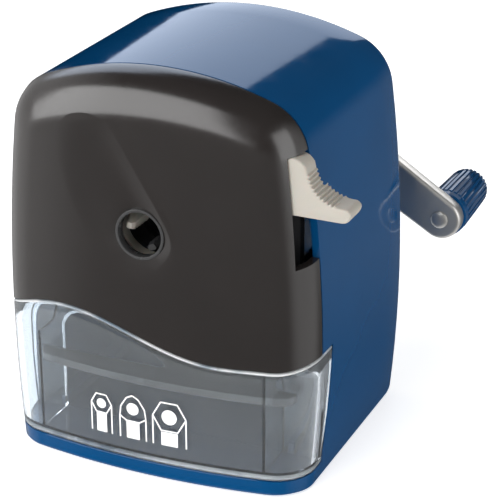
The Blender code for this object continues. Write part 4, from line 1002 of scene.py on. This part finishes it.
def lever_thumb():
    """The end outside the slot: the ribbed outline with rounded front and rear edges."""
    plain, ribbed = thumb_outline(0.0), thumb_outline(1.0)
    front, rear, edge = SLOT_FRONT_Y + 0.45, THUMB_REAR_Y, 0.5
    turn = [(edge * (1.0 - math.cos(math.radians(a))), edge * (1.0 - math.sin(math.radians(a))))
            for a in (0, 25, 50, 75, 90)]
    levels = [(front + d, inset) for d, inset in turn]
    levels += [(rear - d, inset) for d, inset in reversed(turn)]
    rings = []
    for y, inset in levels:
        shifts = inward(plain, inset)
        rings.append([(x + dx, y, z + dz) for (x, z), (dx, dz) in zip(ribbed, shifts)])
    thumb = loft("lever_thumb", rings)
    return cut(thumb, box("step", (30.0, REAR_Y - 63.9, 70.0), (46.6, rear + 1.0, 110.0)))


def lever_cam():
    """The disc round the pencil axis, with the arm that carries the thumb end."""
    inner, outer = CAM_RADII
    profile = [(CAM_FRONT_Y, outer), (CAM_FRONT_Y, inner), (CAM_REAR_Y, inner), (CAM_REAR_Y, outer)]
    cam = turned("lever_cam", profile, PENCIL_AXIS, segments=96, closed=True)
    outline = [(15.5, 76.5), (38.6, 81.2), (38.6, 94.6), (11.8, 84.5)]
    return join(cam, prism("arm", outline, CAM_FRONT_Y + 0.2, CAM_REAR_Y - 0.2))


def make_lever():
    declare(lever_thumb(), "ivory", "lever", "clamp_lever", angle=38.0)
    declare(lever_cam(), "ivory", "lever")


# Jaws ------------------------------------------------------
def spin(points, degrees):
    """Turn points given as (outward, y, sideways) about the pencil axis."""
    a = math.radians(degrees)
    c, s = math.cos(a), math.sin(a)
    return [(u * c - v * s, y, PENCIL_Z + u * s + v * c) for u, y, v in points]


def jaw_outline():
    """Side view of a jaw as (outward, y), with teeth along its inner edge."""
    outline = [(JAW_OUTER, JAW_REAR_Y), (JAW_OUTER, JAW_FRONT_Y), (5.7, JAW_FRONT_Y),
               (5.7, GUIDE_REAR + 0.8), (5.2, GUIDE_REAR + 0.45)]
    start = GUIDE_REAR + 0.6
    pitch = (JAW_REAR_Y - start) / JAW_TEETH
    for k in range(JAW_TEETH):
        outline += [(JAW_INNER + 0.55, start + pitch * k), (JAW_INNER, start + pitch * (k + 0.55))]
    outline.append((JAW_INNER + 0.5, JAW_REAR_Y))
    return outline


def make_jaws():
    """Three jaws, narrower at the teeth, whose front corners lean back."""
    levels = ((-JAW_HALF_WIDTH, 0.9, 0.45), (-0.8, 0.0, 0.0), (0.8, 0.0, 0.0), (JAW_HALF_WIDTH, 0.9, 0.45))
    for name, degrees, look in JAWS:
        rings = []
        for v, pull, lean in levels:
            ring = []
            for u, y in jaw_outline():
                back = max(0.0, JAW_FRONT_Y - y) * lean
                ring.append((u + (pull if u < 5.3 else 0.0), y + back, v))
            rings.append(spin(ring, degrees))
        declare(loft(f"{name}_toothed", rings), look, name, name)
        if name == "jaw_lower":
            make_jaw_highlight_pad(name, degrees)


def make_jaw_highlight_pad(name, degrees):
    """The grey tip that shows at the foot of the pencil hole. Its grey, lighter than the jaw's black, is a
    painted highlight for the light on the jaw's top face.
    """
    outline = [(4.3, -1.0), (5.1, -1.3), (5.6, -0.9), (5.6, 0.9), (5.1, 1.3), (4.3, 1.0)]
    levels = ((GUIDE_REAR + 2.2, 1.0), (GUIDE_REAR + 0.42, 1.0), (GUIDE_REAR + 0.38, 0.7))
    rings = [spin([(u, y, v * share) for u, v in outline], degrees) for y, share in levels]
    # the trim grey here is a painted highlight on the lower jaw's tip
    declare(loft(f"{name}_pad", rings), "trim", name)


# Crank -----------------------------------------------------
def arm_outline(inset, steps=36):
    """Two arcs, round the hub and the knob's axis, joined by the arm's straight sides."""
    dx, dz = KNOB_X, KNOB_Z - CRANK_Z
    heading = math.degrees(math.atan2(dz, dx))
    lean = math.degrees(math.asin((ARM_HUB_RADIUS - ARM_TIP_RADIUS) / math.hypot(dx, dz)))
    turn = 90.0 - lean
    points = arc(*CRANK_AXIS, ARM_HUB_RADIUS - inset, heading + turn, heading + 360.0 - turn, steps)
    return points + arc(*KNOB_AXIS, ARM_TIP_RADIUS - inset, heading - turn, heading + turn, steps)


def make_arm():
    """Pressed channel with a rolled bend between web and flange."""
    bend, inner, hollow = 1.1, 0.5, 4.2
    y0, y1 = ARM_FRONT_Y, ARM_FRONT_Y + ARM_DEPTH
    section = [(hollow, y0)] + arc(bend, y0 + bend, bend, 270.0, 180.0, 6)
    section += [(0.0, y1 - 0.2), (0.15, y1), (ARM_SHEET - 0.15, y1), (ARM_SHEET, y1 - 0.2)]
    section += arc(ARM_SHEET + inner, y0 + ARM_SHEET + inner, inner, 180.0, 270.0, 3)
    section.append((hollow, y0 + ARM_SHEET))
    arm = loft("arm_channel", [[(x, y, z) for x, z in arm_outline(inset)] for inset, y in section])
    for axis, radius in ((CRANK_AXIS, 2.2), (KNOB_AXIS, KNOB_BORE)):
        cut(arm, turned("hole", [(y0 - 1.0, radius), (y0 + 3.0, radius)], axis, segments=48))
    declare(arm, "steel", "crank", "crank_arm", angle=40.0)


def make_shaft():
    """Shaft with the hub that the arm sits on, and a screw hole in its end."""
    front, collar, end = REAR_Y - 13.6, REAR_Y + 2.0, ARM_FRONT_Y - 0.3
    edge, hole = 0.4, 1.8
    profile = [(front, SPINDLE_RADIUS - edge), (front + edge, SPINDLE_RADIUS), (collar, SPINDLE_RADIUS),
               (collar, COLLAR_RADIUS - edge), (collar + edge, COLLAR_RADIUS), (end - edge, COLLAR_RADIUS),
               (end, COLLAR_RADIUS - edge), (end, hole), (end - 7.0, hole)]
    declare(turned("crank_spindle", profile, CRANK_AXIS), "steel", "crank", "crank_shaft")


def make_bush():
    """Bearing of the crank shaft, with a flange outside the rear wall."""
    front, flange = REAR_Y - 7.2, REAR_Y + 0.3
    bore, edge = SPINDLE_RADIUS + 0.25, 7.0
    profile = [(front, BUSH_RADIUS), (front, bore), (flange + 1.3, bore), (flange + 1.3, edge - 0.3),
               (flange + 1.0, edge), (flange, edge), (flange, BUSH_RADIUS)]
    bush = turned("crank_bearing", profile, CRANK_AXIS, closed=True)
    declare(bush, "bronze", "body", "crank_bush")


def recess(centre, y_top, depth):
    """Cross recess cutter for a screw head that faces the rear."""
    bars = []
    for dx, dz in ((1.9, 0.35), (0.35, 1.9)):
        low = (centre[0] - dx, y_top - depth, centre[1] - dz)
        bars.append(box("bar", low, (centre[0] + dx, y_top + 1.0, centre[1] + dz)))
    return join(bars[0], bars[1])


def make_arm_screw():
    seat = ARM_FRONT_Y + ARM_SHEET + 0.2
    profile = [(ARM_FRONT_Y - 6.0, 1.2), (ARM_FRONT_Y - 5.6, 1.5), (seat, 1.5), (seat, 4.0)]
    profile += [(seat + 0.7 + 1.5 * math.sin(math.radians(a)), 1.6 + 2.4 * math.cos(math.radians(a)))
                for a in range(0, 91, 15)]
    screw = turned("crank_screw", profile, CRANK_AXIS, segments=64)
    cut(screw, recess(CRANK_AXIS, seat + 2.2, 1.3))
    declare(screw, "steel", "crank", "arm_screw")


def make_rivet():
    head = ARM_FRONT_Y - 0.15
    profile = [(head - 0.9, 0.3), (head - 0.87, 1.3), (head - 0.72, 2.1), (head - 0.45, 2.5),
               (head - 0.1, 2.6), (head, 2.6), (head, 1.6), (KNOB_FRONT_Y + KNOB_LENGTH - 5.0, 1.6)]
    declare(turned("knob_pin", profile, KNOB_AXIS, segments=64), "steel", "crank", "knob_rivet")


def make_knob():
    """Tapered grip with round-bottomed flutes, a plain collar and a domed end."""
    start, end = KNOB_FRONT_Y, KNOB_FRONT_Y + KNOB_LENGTH
    big, small = KNOB_RADII
    stations = [(start, KNOB_BORE, 0.0), (start, big - 0.45, 0.0), (start + 0.25, big - 0.15, 0.0),
                (start + 2.1, big - 0.1, 0.0), (start + 2.4, big - 0.35, 0.0),
                (start + 2.7, big - 0.3, 0.1), (start + 3.0, big, 0.38),
                (end - 12.0, (big + small) / 2.0, 0.42), (end - 2.6, small, 0.42),
                (end - 1.6, small - 0.25, 0.36), (end - 0.8, small - 0.8, 0.3),
                (end - 0.3, small - 1.6, 0.1), (end, small - 2.9, 0.0), (end, 0.3, 0.0)]
    count = FLUTES * 8
    rings = []
    for y, radius, depth in stations:
        ring = []
        for k in range(count):
            a = 2.0 * math.pi * k / count
            r = radius - depth * max(0.0, math.cos(a * FLUTES)) ** 0.8
            ring.append((KNOB_X + r * math.cos(a), y, KNOB_Z + r * math.sin(a)))
        rings.append(ring)
    knob = loft("knob_grip", rings)
    bore = [(start - 1.0, KNOB_BORE), (end - 4.4, KNOB_BORE)]
    cut(knob, turned("bore", bore, KNOB_AXIS, segments=32))
    declare(knob, "blue", "knob", "knob", angle=40.0)


def make_feet():
    profile = [(-0.5, 4.9), (-0.42, 5.4), (-0.2, 5.75), (0.0, 5.8), (1.0, 6.0)]
    for index, (x, y) in enumerate(foot_places(), 1):
        name = f"rubber_foot_{index}"
        declare(upright(f"{name}_pad", x, y, profile), "rubber", "body", name)


# Carried-over CAD nodes ------------------------------------
def dress_cad():
    """Finish for the internal pieces that keep their CAD shape."""
    looks = {
        "grey": ("mechanism_frame", "ring_gear", "gear_plate", "cutter_carrier"),
        "black": ("chuck_base", "cutter_pinion", "carrier_gear"),
        "steel": ("frame_screw_1", "frame_screw_2", "frame_screw_3", "frame_screw_4", "plate_screw_1",
                  "plate_screw_2", "lever_spring", "cutter_axle", "crank_gear"),
        "cutter": ("helical_cutter",),
        "bronze": ("carrier_bush",),
    }
    for key, nodes in looks.items():
        for node in nodes:
            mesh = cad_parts[node].data
            mesh.materials.clear()
            mesh.materials.append(MATERIALS[key][0])


# Studio ----------------------------------------------------
def make_floor():
    half, z, steps = 3000.0, -0.55, 12
    ticks = [half * (2.0 * i / steps - 1.0) for i in range(steps + 1)]
    starts = [i * (steps + 1) + j for i in range(steps) for j in range(steps)]
    floor = build("studio_floor", [(x, y, z) for x in ticks for y in ticks],
                  [(a, a + 1, a + steps + 2, a + steps + 1) for a in starts])
    floor.data.materials.append(floor_paint())
    floor.visible_glossy = False


def add_panel(name, azimuth, elevation, distance, across, size, radiance, diffuse=True,
              colour=(1.0, 1.0, 1.0)):
    """A soft panel light that faces the object, with its first side along across.

    Azimuth 0 is behind the object and 90 on its right.
    """
    a, e = math.radians(azimuth), math.radians(elevation)
    outward = Vector((math.sin(a) * math.cos(e), math.cos(a) * math.cos(e), math.sin(e)))
    centre = Vector((0.0, 0.0, 0.08)) + outward * distance
    side = (Vector(across) - outward * Vector(across).dot(outward)).normalized()
    data = bpy.data.lights.new(name, "AREA")
    data.shape = "RECTANGLE"
    data.size, data.size_y = size
    data.energy = radiance * math.pi * size[0] * size[1]
    lamp = bpy.data.objects.new(name, data)
    turn = Matrix((side, outward.cross(side), outward)).transposed()
    lamp.matrix_world = Matrix.Translation(centre) @ turn.to_4x4()
    lamp.visible_diffuse = diffuse
    data.color = colour
    bpy.context.scene.collection.objects.link(lamp)
    return lamp


def make_world():
    """Bright straight below, dim at table level, dark above and rear left, lighter at the sides."""
    world = bpy.data.worlds.new("studio")
    world.use_nodes = True
    graph = Graph(world.node_tree)
    background = graph.tree.nodes["Background"]
    background.inputs["Color"].default_value = (1.0, 1.0, 1.0, 1.0)
    split = graph.add("ShaderNodeSeparateXYZ")
    graph.link(graph.add("ShaderNodeTexCoord").outputs["Generated"], split.inputs[0])
    x, y, z = (split.outputs[axis] for axis in "XYZ")
    levels = ((-1.0, 0.95), (-0.75, 0.85), (-0.6, 0.1), (-0.46, 0.09), (-0.36, 0.2), (-0.1, 0.2),
              (0.1, 0.05))
    stops = [((level + 1.0) / 2.0, (strength,) * 3) for level, strength in levels]
    total = graph.ramp(graph.remap(z, 0.0, 1.0, -1.0, 1.0), stops)
    right, front = graph.remap(x, 0.0, 1.0, -0.3, 0.0), graph.remap(y, 0.0, 1.0, 0.5, 0.2)
    lit = graph.calculate("MAXIMUM", right, front)
    total = graph.calculate("MULTIPLY", total, lit)
    total = graph.calculate("ADD", total, graph.remap(x, 0.0, 0.7, -0.56, -0.8))
    total = graph.calculate("ADD", total, graph.remap(x, 0.0, 0.6, 0.6, 0.85))
    graph.link(total, background.inputs["Strength"])
    bpy.context.scene.world = world


def add_card(name, radiance, receiver):
    """A small light behind the crank that falls on one piece only."""
    card = add_panel(name, 23.2, 11.1, 0.155, (1.0, 0.0, 0.0), (0.06, 0.06), radiance, diffuse=False)
    card.visible_camera = False
    card.visible_transmission = False
    receivers = bpy.data.collections.new(f"{name}_receivers")
    receivers.objects.link(bpy.data.objects[receiver])
    card.light_linking.receiver_collection = receivers


def make_studio():
    make_world()
    add_panel("panel_front", -147.0, 27.3, 1.067, (0.81, -0.5, 0.29), (1.3, 1.2), 3.0)
    add_panel("panel_rear", -29.8, 26.8, 1.02, (0.716, 0.0, 0.698), (0.56, 1.1), 1.7, diffuse=False,
              colour=(0.86, 0.97, 1.16))
    add_panel("panel_right", 108.0, 16.0, 1.0, (0.0, 1.0, 0.0), (0.8, 0.9), 1.5)
    top = add_panel("panel_top", 0.0, 88.0, 1.0, (1.0, 0.0, 0.0), (0.9, 0.9), 0.9)
    top.visible_glossy = False
    add_card("crank_card", 2.2, "arm_channel")
    add_card("knob_card", 0.7, "knob_grip")
    bpy.context.scene.view_settings.view_transform = "Standard"


def make_camera():
    data = bpy.data.cameras.new("camera")
    data.lens = 122.45
    data.sensor_width = 36.0
    data.clip_start, data.clip_end = 0.01, 20.0
    camera = bpy.data.objects.new("camera", data)
    camera.location = CAMERA_PLACE
    view = Vector(CAMERA_TARGET) - camera.location
    camera.rotation_euler = view.to_track_quat("-Z", "Y").to_euler()
    bpy.context.scene.collection.objects.link(camera)
    bpy.context.scene.camera = camera


make_camera()
make_housing()
make_pillars()
make_cover()
make_guide_ring()
make_drawer()
make_print()
make_lever()
make_jaws()
make_arm()
make_shaft()
make_bush()
make_arm_screw()
make_rivet()
make_knob()
make_feet()
dress_cad()
make_floor()
make_studio()
